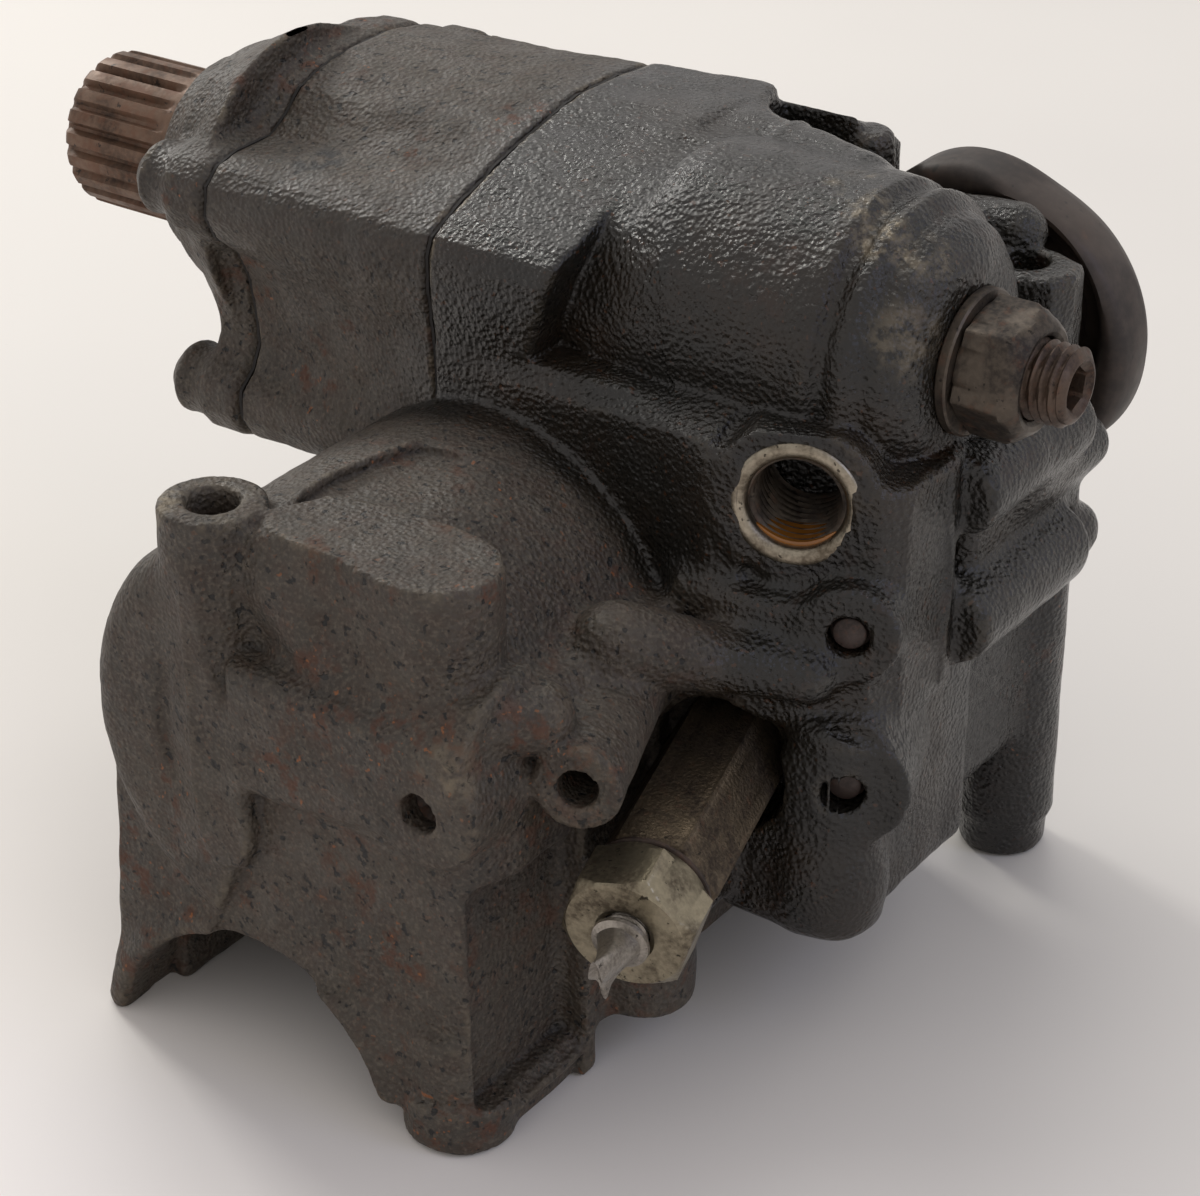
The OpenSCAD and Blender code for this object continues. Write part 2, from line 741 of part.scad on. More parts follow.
module coil(x0, x1, r, wire, turns, y, z) {
    pitch = (x1 - x0 - wire) / (turns - 1);
    for (i = [0:turns - 1]) translate([x0 + wire / 2 + i * pitch, y, z])
        rotate([0, 90, 0]) rotate_extrude() translate([r - wire / 2, 0]) circle(d = wire, $fn = 24);
    for (i = [0:turns - 2]) xcyl(x0 + wire / 2 + i * pitch, x0 + wire / 2 + (i + 1) * pitch,
        wire * 0.4, y + (r - wire / 2) * (i % 2 == 0 ? 1 : -1), z);
}

module control_spring() {
    color(STEEL) at_shaft() coil(swash_x + swash_t + 6, spring_end_x, control_r - 1.4, 1.8, 6, 0,
        lever_z);
}

module thrust_plate() {
    color(STEEL) at_shaft() xcyl(thrust_x, thrust_x + thrust_t - seat_gap, bearing_r - 1);
}

module adjusting_screw() {
    color(RUSTY) at_shaft() difference() {
        union() {
            xcyl(screw_x, screw_x + screw_len - 1, screw_r - run_clear);
            xcone(screw_x + screw_len - 1, screw_x + screw_len, screw_r - run_clear, screw_r - 1);
        }
        translate([screw_x + screw_len - 8, 0, 0]) rotate([0, 90, 0])
            cylinder(h = 9, r = socket_af / sqrt(3), $fn = 6);
    }
}

module seal_washer() {
    color(STEEL) at_shaft() difference() {
        xcyl(boss_x, boss_x + washer_t, 14.5);
        xcyl(boss_x - 1, boss_x + washer_t + 1, screw_r + 0.3);
    }
}

module lock_nut() {
    color(STEEL) at_shaft() difference() {
        intersection() {
            translate([nut_x, 0, 0]) rotate([0, 90, 0])
                cylinder(h = nut_h, r = nut_af / sqrt(3), $fn = 6);
            union() {
                xcyl(nut_x, nut_x + nut_h - 2, nut_af / sqrt(3) + 1);
                xcone(nut_x + nut_h - 2, nut_x + nut_h, nut_af / sqrt(3) + 0.3, nut_af / 2 - 0.6);
            }
        }
        xcyl(nut_x - 1, nut_x + nut_h + 1, screw_r);
    }
}

module relief_body() {
    color(RUSTY) at_shaft() difference() {
        union() {
            valve_hex(3, valve_len, valve_af);
            valve_cyl(-10, 3, valve_af / 2 - 2);
        }
        valve_cyl(-11, valve_len + 1, stem_r);
        valve_cyl(0, valve_len - 10, stem_r + 1.5);
    }
}

module relief_washer() {
    color("#2b2019") at_shaft() difference() {
        valve_cyl(valve_len, valve_len + 1.6, valve_nut_af / 2 - 1.2);
        valve_cyl(valve_len - 1, valve_len + 3, stem_r + 0.3);
    }
}

module relief_nut() {
    color("#8f8463") at_shaft() difference() {
        valve_hex(valve_len + 1.6, valve_len + 1.6 + valve_nut_h, valve_nut_af, 12);
        valve_cyl(valve_len, valve_len + 20, stem_r);
    }
}

module relief_stem() {
    color("#a9a7a2") at_shaft() {
        valve_cyl(valve_len - 10, valve_len + valve_nut_h + 8, stem_r - run_clear);
        valve_cyl(valve_len + valve_nut_h + 1.6, valve_len + valve_nut_h + 14,
            stem_r - 0.5);
    }
}

module relief_poppet() {
    color(STEEL) at_shaft() {
        valve_cyl(-8, 1, stem_r - run_clear);
        valve_cyl(1, 3, stem_r + 1);
    }
}

module relief_spring() {
    color(STEEL) at_shaft() translate(valve_p) rotate([0, 0, valve_angle])
        rotate([90 + valve_tilt, 0, 0]) rotate([0, -90, 0])
            coil(3 + seat_gap, valve_len - 10 - seat_gap, stem_r + 1.2, 1.4, 9, 0, 0);
}

module core_plugs() {
    color(RUSTY) at_shaft() {
        port_cyl(plug1_p, -7, -0.8, plug_r - run_clear);
        port_cyl(plug2_p, -7, -0.8, plug_r - run_clear);
    }
}

module broken_bolt() {
    color(RUSTY) at_shaft() {
        ycyl(front_y + 2, front_y + 15, bolt_r - run_clear, bolt_ear_p[0], bolt_ear_p[1]);
    }
}

module passage_plugs() {
    color(STEEL) at_shaft() for (i = [0, 1])
        ycyl(passage_end[i] - 11, passage_end[i] + 1, passage_plug_r - run_clear, passage_p[i][0],
            passage_p[i][1]);
}

module side_flange() {
    color("#4c3a30") at_shaft() difference() {
        union() {
            ycyl(side_y, side_y + 14, flange_r, side_x, side_z);
            translate([side_x, side_y + 14, side_z]) rotate([-90, 0, 0])
                cylinder(h = flange_depth - 14, r1 = flange_r, r2 = 22);
        }
        ycyl(side_y - 1, side_y + 10, flange_r - 7, side_x, side_z);
        translate([side_x, side_y + 10 - eps, side_z]) rotate([-90, 0, 0])
            cylinder(h = 8, r1 = flange_r - 7, r2 = side_bearing_r + 3);
        ycyl(side_y + 10, side_y + flange_depth + 1, side_bearing_r, side_x, side_z);
    }
}

module side_bearing() {
    color(STEEL) at_shaft() difference() {
        ycyl(side_y + 13, side_y + 20, side_bearing_r, side_x, side_z);
        ycyl(side_y + 12, side_y + 21, side_stub_r + run_clear, side_x, side_z);
    }
}

module side_seal() {
    color("#151515") at_shaft() difference() {
        ycyl(side_y + 20, side_y + flange_depth - 0.5, side_bearing_r, side_x, side_z);
        ycyl(side_y + 20, side_y + flange_depth + 1, side_stub_r + 0.35, side_x, side_z);
    }
}

front_cover();
cover_gasket();
gear_housing();
housing_gasket();
main_housing();
through_studs();
drive_shaft();
shaft_seal();
front_bearing();
drive_gear();
driven_gear();
front_bush();
rear_bush();
valve_plate();
cylinder_block();
pistons();
slippers();
retainer_plate();
ball_guide();
block_spring();
swash_plate();
swash_pin();
control_piston();
control_spring();
rear_bearing();
thrust_plate();
adjusting_screw();
seal_washer();
lock_nut();
relief_body();
relief_washer();
relief_nut();
relief_stem();
relief_poppet();
relief_spring();
core_plugs();
broken_bolt();
passage_plugs();
side_flange();
side_bearing();
side_seal();
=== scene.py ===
"""Looks of the axial piston pump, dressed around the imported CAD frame.

Lengths in this file are millimetres in shaft coordinates: x along the shaft from the splined
end, y across, z up, with the origin on the shaft axis. place() turns them into row metres.
"""
from math import atan, cos, exp, hypot, pi, radians, sin, sqrt

import bmesh
import bpy
import numpy as np
from mathutils import Matrix, Vector


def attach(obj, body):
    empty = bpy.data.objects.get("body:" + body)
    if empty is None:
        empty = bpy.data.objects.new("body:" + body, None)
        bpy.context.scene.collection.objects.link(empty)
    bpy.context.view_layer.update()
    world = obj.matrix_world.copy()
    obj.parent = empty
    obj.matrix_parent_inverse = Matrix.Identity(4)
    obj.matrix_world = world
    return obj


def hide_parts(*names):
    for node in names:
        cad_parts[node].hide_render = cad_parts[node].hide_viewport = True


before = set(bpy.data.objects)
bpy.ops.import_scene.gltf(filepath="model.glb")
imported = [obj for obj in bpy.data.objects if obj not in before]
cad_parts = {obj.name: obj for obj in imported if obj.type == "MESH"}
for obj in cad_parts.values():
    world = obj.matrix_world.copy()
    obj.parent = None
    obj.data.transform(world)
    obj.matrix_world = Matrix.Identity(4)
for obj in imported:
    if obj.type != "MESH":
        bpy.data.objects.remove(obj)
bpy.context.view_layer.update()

SHAFT = np.array([-120.25, 15.9, 138])  # row position of the splined end, in mm
GROUND = -138.0
MM = 0.001
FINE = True
MAIN_CELL, FRONT_CELL = (0.85, 0.8) if FINE else (1.4, 1.3)  # grid steps of the castings
SPREAD = 7 if FINE else 4  # rounds of averaging that tell an edge from a hollow
MOST_FACES = 190000  # of the main casting, under the exporter's limit
MOST_FRONT_FACES = 120000

# Front to back: cover, paper seam, gear case, paper seam, main casting
COVER_END, CASE_START, CASE_END, MAIN_START = 62, 62.85, 119.7, 120.5

# Seam outlines across the shaft, as (y, z), and the bolt ears
SEAM1 = [(34.9, 26.5), (22.4, 28.6), (10, 28.2), (0, 26.8), (-7.2, 24.2), (-12.5, 19.6),
         (-17.6, 16.6), (-28.1, 16.4), (-34.7, 15), (-38.4, 11.5), (-39.3, 5.1), (-36.4, -0.5),
         (-30, -6), (-26.8, -12.6), (-25.5, -20), (-24.6, -28.9), (-27.2, -34.3), (-31.6, -38),
         (-32, -44), (-29, -49), (-23.2, -51.6), (-16, -50.5), (0, -49.8), (24, -49.6),
         (38, -52.4), (46, -47), (47.6, -42), (52, -37), (59, -28), (62.3, -14), (62.5, -3),
         (65, 4), (65.5, 12), (60, 17), (52, 18), (44, 20.5)]
SEAM2 = [(39, 27.4), (27.4, 28.6), (14.4, 28.8), (3.9, 26.9), (-7.5, 24.5), (-20.6, 20.3),
         (-32.5, 15.9), (-36.6, 13.6), (-38.3, 9.6), (-38.4, 2), (-37, -7.8), (-36.2, -18.5),
         (-36.2, -25), (-35.2, -40), (-31, -47.5), (-23, -51.5), (0, -50.5), (24, -50),
         (38, -52.4), (46, -47), (49, -40), (59, -27), (62.5, -12), (65.5, 4), (65.5, 12),
         (60, 17), (52, 19), (45, 24)]
EARS = [(-30, 7), (-23.5, -42), (38, -43), (56.5, 8)]
PORT = np.array([206, -37, -20])
PORT_WAY = np.array([sin(radians(22)), -cos(radians(22)), 0])
VALVE = np.array([194.5, -40, -76.5])
VALVE_WAY = np.array([0.22276185, -0.96488756, -0.1391731])
PLUGS = np.array([219.5, -38.5, -43.5]), np.array([220.5, -39.5, -76.5])
SIDE_BOSS = np.array([196, -94, -57])
TOWER = (119, -102.4)  # x and y of the upright bolt tower
COLUMN = (215.5, -34)  # x and y of the column under the front corner
BACK_LEG = (212, 48)
STUD = (174.9, -59.7)  # x and z of the broken bolt in the ledge
FLANGE = np.array([194, 0, -19])
X, Y = np.array([1, 0, 0]), np.array([0, 1, 0])
GEAR_END, GEAR_R, DRIVEN = 108.7, 18.1, (25.6, -19.2)
SHAFT_END = 207.0


def place(p):
    return Vector([(p[i] + SHAFT[i]) * MM for i in range(3)])


def new_object(name, data):
    ob = bpy.data.objects.new(name, data)
    bpy.context.scene.collection.objects.link(ob)
    return ob


# ---- camera

CAMERA_AT = (462.78, -466.15, 239.73)
CAMERA_RIGHT = Vector((0.81816373, 0.57498531, 0))
CAMERA_UP = Vector((-0.28123743, 0.40018112, 0.8722159))
HALF_VIEW = 0.2  # tangent of half the view's width


def make_camera():
    camera = bpy.data.cameras.new("camera")
    camera.sensor_fit = "HORIZONTAL"
    camera.angle_x = 2 * atan(HALF_VIEW)
    camera.clip_start, camera.clip_end = 0.05, 30
    ob = new_object("camera", camera)
    turn = Matrix((CAMERA_RIGHT, CAMERA_UP, CAMERA_RIGHT.cross(CAMERA_UP)))
    ob.matrix_world = Matrix.Translation(place(CAMERA_AT)) @ turn.transposed().to_4x4()
    bpy.context.scene.camera = ob


# ---- noise

def lattice(i, j, k, seed):
    h = (i * 374761393 + j * 668265263 + k * 1440662683 + seed * 1274126177) & 0xFFFFFFFF
    h = ((h ^ (h >> 13)) * 1274126177) & 0xFFFFFFFF
    return ((h ^ (h >> 16)) & 0xFFFF) / 32767.5 - 1


def noise(p, size, seed=1):
    """Smooth value noise from -1 to 1 at points p, with cells of the given size."""
    q = p / size
    low = np.floor(q).astype(np.int64)
    f = q - low
    f = f * f * (3 - 2 * f)
    out = np.zeros(len(p))
    for a in (0, 1):
        for b in (0, 1):
            for c in (0, 1):
                w = ((f[:, 0] if a else 1 - f[:, 0]) * (f[:, 1] if b else 1 - f[:, 1])
                     * (f[:, 2] if c else 1 - f[:, 2]))
                out += w * lattice(low[:, 0] + a, low[:, 1] + b, low[:, 2] + c, seed)
    return out


def mixed(p, *terms):
    """A sum of noises, each given as (cell size, weight, seed)."""
    return sum(noise(p, size, seed) * weight for size, weight, seed in terms)


def step(value, low, high):
    """0 below low, 1 above high, smooth between them."""
    t = np.clip((value - low) / (high - low), 0, 1)
    return t * t * (3 - 2 * t)


def near(p, centre, radius, soft):
    """1 within radius of centre, fading to 0 over soft."""
    return 1 - step(np.linalg.norm(p - np.array(centre, float), axis=1), radius, radius + soft)


def patches(p, *rows):
    """A sum of round patches, each given as (centre, radius, softness, weight)."""
    return sum(near(p, centre, radius, soft) * weight for centre, radius, soft, weight in rows)


# ---- solid shapes
# A shape is its distance function, negative inside, and the low and high corners of its box.

def corner(*parts):
    """Distance to the inside corner of several faces, rounded on the outside."""
    inside = parts[0]
    outside = np.maximum(parts[0], 0) ** 2
    for part in parts[1:]:
        inside = np.maximum(inside, part)
        outside = outside + np.maximum(part, 0) ** 2
    return np.minimum(inside, 0) + np.sqrt(outside)


def rod(a, b, r0, r1=None, edge=0.6):
    """A round bar from a to b, tapered where r1 is given, with rims rounded by edge."""
    a, b = np.array(a, float), np.array(b, float)
    length = np.linalg.norm(b - a)
    d = (b - a) / length
    r1 = r0 if r1 is None else r1

    def distance(x, y, z):
        px, py, pz = x - a[0], y - a[1], z - a[2]
        t = px * d[0] + py * d[1] + pz * d[2]
        radial = np.sqrt(np.maximum(px * px + py * py + pz * pz - t * t, 0))
        u = radial - (r0 + (r1 - r0) * np.clip(t / length, 0, 1)) + edge
        return corner(u, np.abs(t - length / 2) - length / 2 + edge) - edge
    r = max(r0, r1)
    return distance, np.minimum(a, b) - r, np.maximum(a, b) + r


def stub(origin, way, start, stop, r0, r1=None, edge=0.6):
    """A round bar along way, between two distances from origin."""
    return rod(origin + way * start, origin + way * stop, r0, r1, edge)


def block(low, high, edge):
    low, high = np.array(low, float), np.array(high, float)
    c, h = (low + high) / 2, (high - low) / 2 - edge

    def distance(*xyz):
        return corner(*(np.abs(xyz[i] - c[i]) - h[i] for i in range(3))) - edge
    return distance, low, high


def bar(points, radii):
    """Round links through points, with a radius at each."""
    points = [np.array(p, float) for p in points]
    radii = radii if isinstance(radii, (list, tuple)) else [radii] * len(points)

    def distance(x, y, z):
        out = None
        for a, b, r0, r1 in zip(points, points[1:], radii, radii[1:]):
            e = b - a
            px, py, pz = x - a[0], y - a[1], z - a[2]
            t = np.clip((px * e[0] + py * e[1] + pz * e[2]) / (e @ e), 0, 1)
            gap = np.sqrt((px - t * e[0]) ** 2 + (py - t * e[1]) ** 2 + (pz - t * e[2]) ** 2)
            gap = gap - (r0 + t * (r1 - r0))
            out = gap if out is None else np.minimum(out, gap)
        return out
    r = max(radii)
    return distance, np.min(points, axis=0) - r, np.max(points, axis=0) + r


def flat(outline, u, v):
    """Signed distance from (u, v) to a closed outline, negative inside."""
    nearest, sign = None, 1.0
    for (x0, y0), (x1, y1) in zip(outline, outline[1:] + outline[:1]):
        ex, ey = x1 - x0, y1 - y0
        wx, wy = u - x0, v - y0
        t = np.clip((wx * ex + wy * ey) / (ex * ex + ey * ey), 0, 1)
        gap = (wx - ex * t) ** 2 + (wy - ey * t) ** 2
        nearest = gap if nearest is None else np.minimum(nearest, gap)
        above, below, left = v >= y0, v < y1, ex * wy > ey * wx
        crossing = (above & below & left) | (~above & ~below & ~left)
        sign = np.where(crossing, -sign, sign)
    return sign * np.sqrt(nearest)


def prism(outline, axis, low, high, edge=0.6, end=None):
    """An outline in the two other axes, given thickness along axis and perhaps another end."""
    others = [i for i in range(3) if i != axis]

    def distance(*xyz):
        u, v = (xyz[i] for i in others)
        t = xyz[axis]
        d = flat(outline, u, v)
        if end is not None:
            s = np.clip((t - low) / (high - low), 0, 1)
            d = d * (1 - s) + flat(end, u, v) * s
        return corner(d + edge, np.abs(t - (low + high) / 2) - (high - low) / 2 + edge) - edge
    both = outline + (end or [])
    box_low, box_high = np.zeros(3), np.zeros(3)
    box_low[axis], box_high[axis] = low, high
    for i, k in enumerate(others):
        box_low[k], box_high[k] = min(p[i] for p in both), max(p[i] for p in both)
    return distance, box_low, box_high


def turned(profile):
    """A shape turned about the shaft, from an outline of (x, radius)."""
    r = max(p[1] for p in profile)

    def distance(x, y, z):
        return flat(profile, x, np.sqrt(y * y + z * z))
    xs = [p[0] for p in profile]
    return distance, np.array([min(xs), -r, -r]), np.array([max(xs), r, r])


def below(shape, top):
    """What is left of a shape below the height top."""
    distance, low, high = shape
    return (lambda x, y, z: np.maximum(distance(x, y, z), z - top)), low, high


class Field:
    """Signed distances on a grid, where solids are melted together and cut away."""

    FAR = 60.0
    MARGIN = 4.0  # how far round a shape the grid is worked, on top of the blend

    def __init__(self, low, high, cell):
        self.cell = cell
        self.axes = [np.arange(low[i], high[i] + cell, cell) for i in range(3)]
        self.d = np.full([len(a) for a in self.axes], self.FAR, np.float32)

    def melt(self, shape, blend, pick, sign):
        distance, low, high = shape
        pad = blend + self.MARGIN
        part = tuple(slice(*np.searchsorted(a, (l - pad, h + pad)))
                     for a, l, h in zip(self.axes, low, high))
        xyz = np.ix_(*(a[c] for a, c in zip(self.axes, part)))
        a, b = self.d[part], -sign * distance(*xyz)
        h = np.maximum(blend - np.abs(a - b), 0)
        self.d[part] = pick(a, b) + sign * h * h / (4 * blend)

    def add(self, shape, blend):
        self.melt(shape, blend, np.minimum, -1)

    def cut(self, shape, blend):
        self.melt(shape, blend, np.maximum, 1)

    def bore(self, origin, way, start, stop, r):
        self.cut(stub(origin, way, start, stop, r, edge=0.05), 0.2)

    def bores(self, axis, rows):
        """Round holes along an axis, as (from, to, the two other coordinates, radius)."""
        for start, stop, u, v, r in rows:
            self.bore(np.insert([u, v], axis, 0), np.eye(3)[axis], start, stop, r)

    def mesh(self, name):
        """The surface where the distance is nought."""
        d, n = self.d, self.d.shape
        cells, spots, quads = [], [], []
        for axis in range(3):
            low = tuple(slice(None, -1) if i == axis else slice(1, -1) for i in range(3))
            high = tuple(slice(1, None) if i == axis else slice(1, -1) for i in range(3))
            a, b = d[low], d[high]
            at = np.argwhere((a < 0) != (b < 0))
            va, vb = a[tuple(at.T)], b[tuple(at.T)]
            base = at + [0 if i == axis else 1 for i in range(3)]
            spot = base.astype(float)
            spot[:, axis] += va / (va - vb)
            u, v = (axis + 1) % 3, (axis + 2) % 3
            ring = []
            for du, dv in ((-1, -1), (0, -1), (0, 0), (-1, 0)):
                cell = base.copy()
                cell[:, u] += du
                cell[:, v] += dv
                ring.append(np.ravel_multi_index(tuple(cell.T), n))
                cells.append(ring[-1])
                spots.append(spot)
            quad = np.stack(ring, 1)
            flip = va > vb
            quad[flip] = quad[flip][:, ::-1]
            quads.append(quad)
        used, index = np.unique(np.concatenate(cells), return_inverse=True)
        spots, quads = np.concatenate(spots), np.concatenate(quads)
        count = np.bincount(index)
        p = np.stack([np.bincount(index, spots[:, i]) / count for i in range(3)], 1)
        p = p * self.cell + [a[0] for a in self.axes]
        faces = np.searchsorted(used, quads)
        mesh = bpy.data.meshes.new(name)
        mesh.vertices.add(len(p))
        mesh.vertices.foreach_set("co", ((p + SHAFT) * MM).ravel())
        mesh.loops.add(faces.size)
        mesh.loops.foreach_set("vertex_index", faces.ravel().astype(np.int32))
        mesh.polygons.add(len(faces))
        mesh.polygons.foreach_set("loop_start", np.arange(0, faces.size, 4, dtype=np.int32))
        mesh.update(calc_edges=True)
        mesh.validate()
        return new_object(name, mesh)


# ---- mesh building

class Skin:
    """The vertices of a casting, in shaft millimetres, for roughening and painting."""

    def __init__(self, ob):
        self.mesh = ob.data
        n = len(self.mesh.vertices)
        co = np.empty(n * 3, np.float64)
        self.mesh.vertices.foreach_get("co", co)
        self.p = co.reshape(-1, 3) / MM - SHAFT
        edges = np.empty(len(self.mesh.edges) * 2, np.int32)
        self.mesh.edges.foreach_get("vertices", edges)
        self.a, self.b = edges.reshape(-1, 2).T
        self.count = np.bincount(self.a, minlength=n) + np.bincount(self.b, minlength=n)

    def average(self, values):
        columns = values.reshape(len(values), -1)
        rows = [np.bincount(self.a, c[self.b], len(c)) + np.bincount(self.b, c[self.a], len(c))
                for c in columns.T]
        return (np.stack(rows, 1) / np.maximum(self.count, 1)[:, None]).reshape(values.shape)

    def write(self):
        self.mesh.vertices.foreach_set("co", ((self.p + SHAFT) * MM).ravel())
        self.mesh.update()

    def normals(self):
        self.write()
        n = np.empty(len(self.p) * 3, np.float32)
        self.mesh.vertices.foreach_get("normal", n)
        return n.reshape(-1, 3).astype(float)

    def bulge(self, spread):
        """How far each point stands out of its surroundings, in mm."""
        n = self.normals()
        c = self.p
        for _ in range(spread):
            c = self.average(c)
        c = ((self.p - c) * n).sum(1)
        for _ in range(2):
            c = 0.5 * c + 0.5 * self.average(c)
        return c

    def paint(self, **layers):
        for name, values in layers.items():
            layer = self.mesh.attributes.new(name, "FLOAT", "POINT")
            layer.data.foreach_set("value", np.clip(values, 0, 1).astype(np.float32))


def thin_out(ob, most):
    """Thins a mesh down to the given number of triangles, if it has more. Keeps a mesh
    under the exporter's face limit.
    """
    triangles = sum(len(p.vertices) - 2 for p in ob.data.polygons)
    if triangles <= most:
        return
    cut = ob.modifiers.new("thin", "DECIMATE")
    cut.ratio = most / triangles
    depsgraph = bpy.context.evaluated_depsgraph_get()
    old = ob.data
    ob.data = bpy.data.meshes.new_from_object(ob.evaluated_get(depsgraph))
    ob.modifiers.clear()
    bpy.data.meshes.remove(old)


def frame_axes(way, hint=(0, 0, 1)):
    d = Vector(way).normalized()
    side = Vector(hint).cross(d)
    if side.length < 1e-4:
        side = Vector((1, 0, 0)).cross(d)
    side.normalize()
    return d, side, d.cross(side)


def lathe(name, origin, way, rows, segments, closed=True):
    """A turned piece. Each row is (distance along, radius), where radius may be a function of
    the angle that gives (radius, shift along). A closed piece joins its last row to its first,
    and an open one gets end caps."""
    d, side, up = frame_axes(way)
    o = Vector(origin)
    verts, faces = [], []
    for s, r in rows:
        for i in range(segments):
            a = 2 * pi * i / segments
            radius, shift = r(a) if callable(r) else (r, 0)
            spoke = side * cos(a) + up * sin(a)
            verts.append(place(o + d * (s + shift) + spoke * radius))
    n = len(rows)
    for j in range(n if closed else n - 1):
        k = (j + 1) % n
        for i in range(segments):
            m = (i + 1) % segments
            faces.append((j * segments + i, j * segments + m, k * segments + m, k * segments + i))
    if not closed:
        faces.append(tuple(range(segments - 1, -1, -1)))
        faces.append(tuple((n - 1) * segments + i for i in range(segments)))
    return build(name, verts, faces)


def build(name, verts, faces):
    mesh = bpy.data.meshes.new(name)
    mesh.from_pydata(verts, [], faces)
    bm = bmesh.new()
    bm.from_mesh(mesh)
    bmesh.ops.remove_doubles(bm, verts=bm.verts, dist=1e-7)
    bmesh.ops.recalc_face_normals(bm, faces=bm.faces)
    bm.to_mesh(mesh)
    bm.free()
    return new_object(name, mesh)


def hexagon(across, limit=99.0, turn=0.0):
    """Radius of a hexagon by angle, cut by a round limit."""
    def radius(a):
        b = (a - turn) % (pi / 3) - pi / 6
        return min(across / 2 / cos(b), limit), 0
    return radius


def hex_nut(name, origin, way, low, high, across, bore, turn, chamfer):
    """A nut with its corners turned off at both ends."""
    full, least = across / sqrt(3) + 0.1, across / 2 - 0.3
    rows = [(low + 0.2, bore), (low, hexagon(across, least, turn)),
            (low + chamfer, hexagon(across, full, turn))]
    for k in range(5):
        t = k / 4
        rows.append((high - chamfer * (1 - t), hexagon(across, full - (full - least) * t, turn)))
    return lathe(name, origin, way, rows + [(high, bore + 1.2), (high - 0.9, bore)], 144)


def screw_rows(low, high, crest, depth, pitch, grain):
    """Rows of a threaded bar, with the helix in the radius."""
    rows = []
    count = int((high - low) / grain)
    for j in range(count + 1):
        s = low + (high - low) * j / count

        def radius(a, s=s):
            t = abs(((s / pitch - a / (2 * pi)) % 1) * 2 - 1)
            return crest - depth * min(max(1.35 * t - 0.2, 0), 1), 0
        rows.append((s, radius))
    return rows


def shade(ob, angle):
    """Smooth shading that keeps edges sharper than the angle, or none where it is 0."""
    mesh = ob.data
    mesh.polygons.foreach_set("use_smooth", [True] * len(mesh.polygons))
    if angle:
        bm = bmesh.new()
        bm.from_mesh(mesh)
        for e in bm.edges:
            e.smooth = len(e.link_faces) == 2 and e.calc_face_angle(0) < radians(angle)
        bm.to_mesh(mesh)
        bm.free()


# ---- materials

class Nodes:
    """A short way to write a material's node tree."""

    def __init__(self, name):
        self.material = bpy.data.materials.new(name)
        self.material.use_nodes = True
        self.tree = self.material.node_tree
        self.shader = self.tree.nodes["Principled BSDF"]
        self.where = self.tree.nodes.new("ShaderNodeTexCoord").outputs["Object"]

    def put(self, socket, value):
        if isinstance(value, bpy.types.NodeSocket):
            self.tree.links.new(value, socket)
        else:
            socket.default_value = (*value, 1) if isinstance(value, tuple) else value

    def node(self, kind, result, sockets, **settings):
        """A node with its settings and inputs. Returns the output called result."""
        n = self.tree.nodes.new("ShaderNode" + kind)
        for name, value in settings.items():
            setattr(n, name, value)
        for name, value in sockets.items():
            self.put(n.inputs[name], value)
        return n.outputs[result]

    def noise(self, scale, detail=4.0, rough=0.55, warp=0.0):
        return self.node("TexNoise", "Fac", {
            "Vector": self.where, "Scale": scale, "Detail": detail, "Roughness": rough,
            "Distortion": warp})

    def cells(self, scale, smooth):
        return self.node("TexVoronoi", "Distance", {
            "Vector": self.where, "Smoothness": smooth, "Scale": scale}, feature="SMOOTH_F1")

    def attribute(self, name):
        return self.node("Attribute", "Fac", {}, attribute_name=name)

    def ramp(self, value, low, high, bottom=0.0, top=1.0):
        return self.node("MapRange", "Result", {
            "Value": value, "From Min": low, "From Max": high, "To Min": bottom, "To Max": top},
            interpolation_type="SMOOTHSTEP")

    def times(self, a, b):
        return self.node("Math", 0, {0: a, 1: b}, operation="MULTIPLY")

    def plus(self, a, b):
        return self.node("Math", 0, {0: a, 1: b}, operation="ADD")

    def mix(self, fac, a, b):
        return self.node("Mix", 2, {"Factor": fac, 6: a, 7: b}, data_type="RGBA")

    def bump(self, height, strength, distance, after=None):
        sockets = {"Strength": strength, "Distance": distance, "Height": height}
        if after is not None:
            sockets["Normal"] = after
        return self.node("Bump", "Normal", sockets)

    def finish(self, colour, rough, metallic=None, normal=None):
        for name, value in (("Base Color", colour), ("Roughness", rough), ("Metallic", metallic),
                            ("Normal", normal)):
            if value is not None:
                self.put(self.shader.inputs[name], value)
        return self.material


def shades(colour, factor):
    return tuple(min(c * factor, 1) for c in colour)


def tinted(colour, *factors):
    return tuple(c * f for c, f in zip(colour, factors))


RUST, RUST_FLECK, BARE_IRON = (0.085, 0.030, 0.014), (0.22, 0.075, 0.022), (0.17, 0.142, 0.102)
# After the pits' colour comes a near-black for painted shade in hollows and for dark marks
PIT, SHADE_AND_MARK_COLOUR = (0.008, 0.007, 0.006), (0.006, 0.005, 0.005)


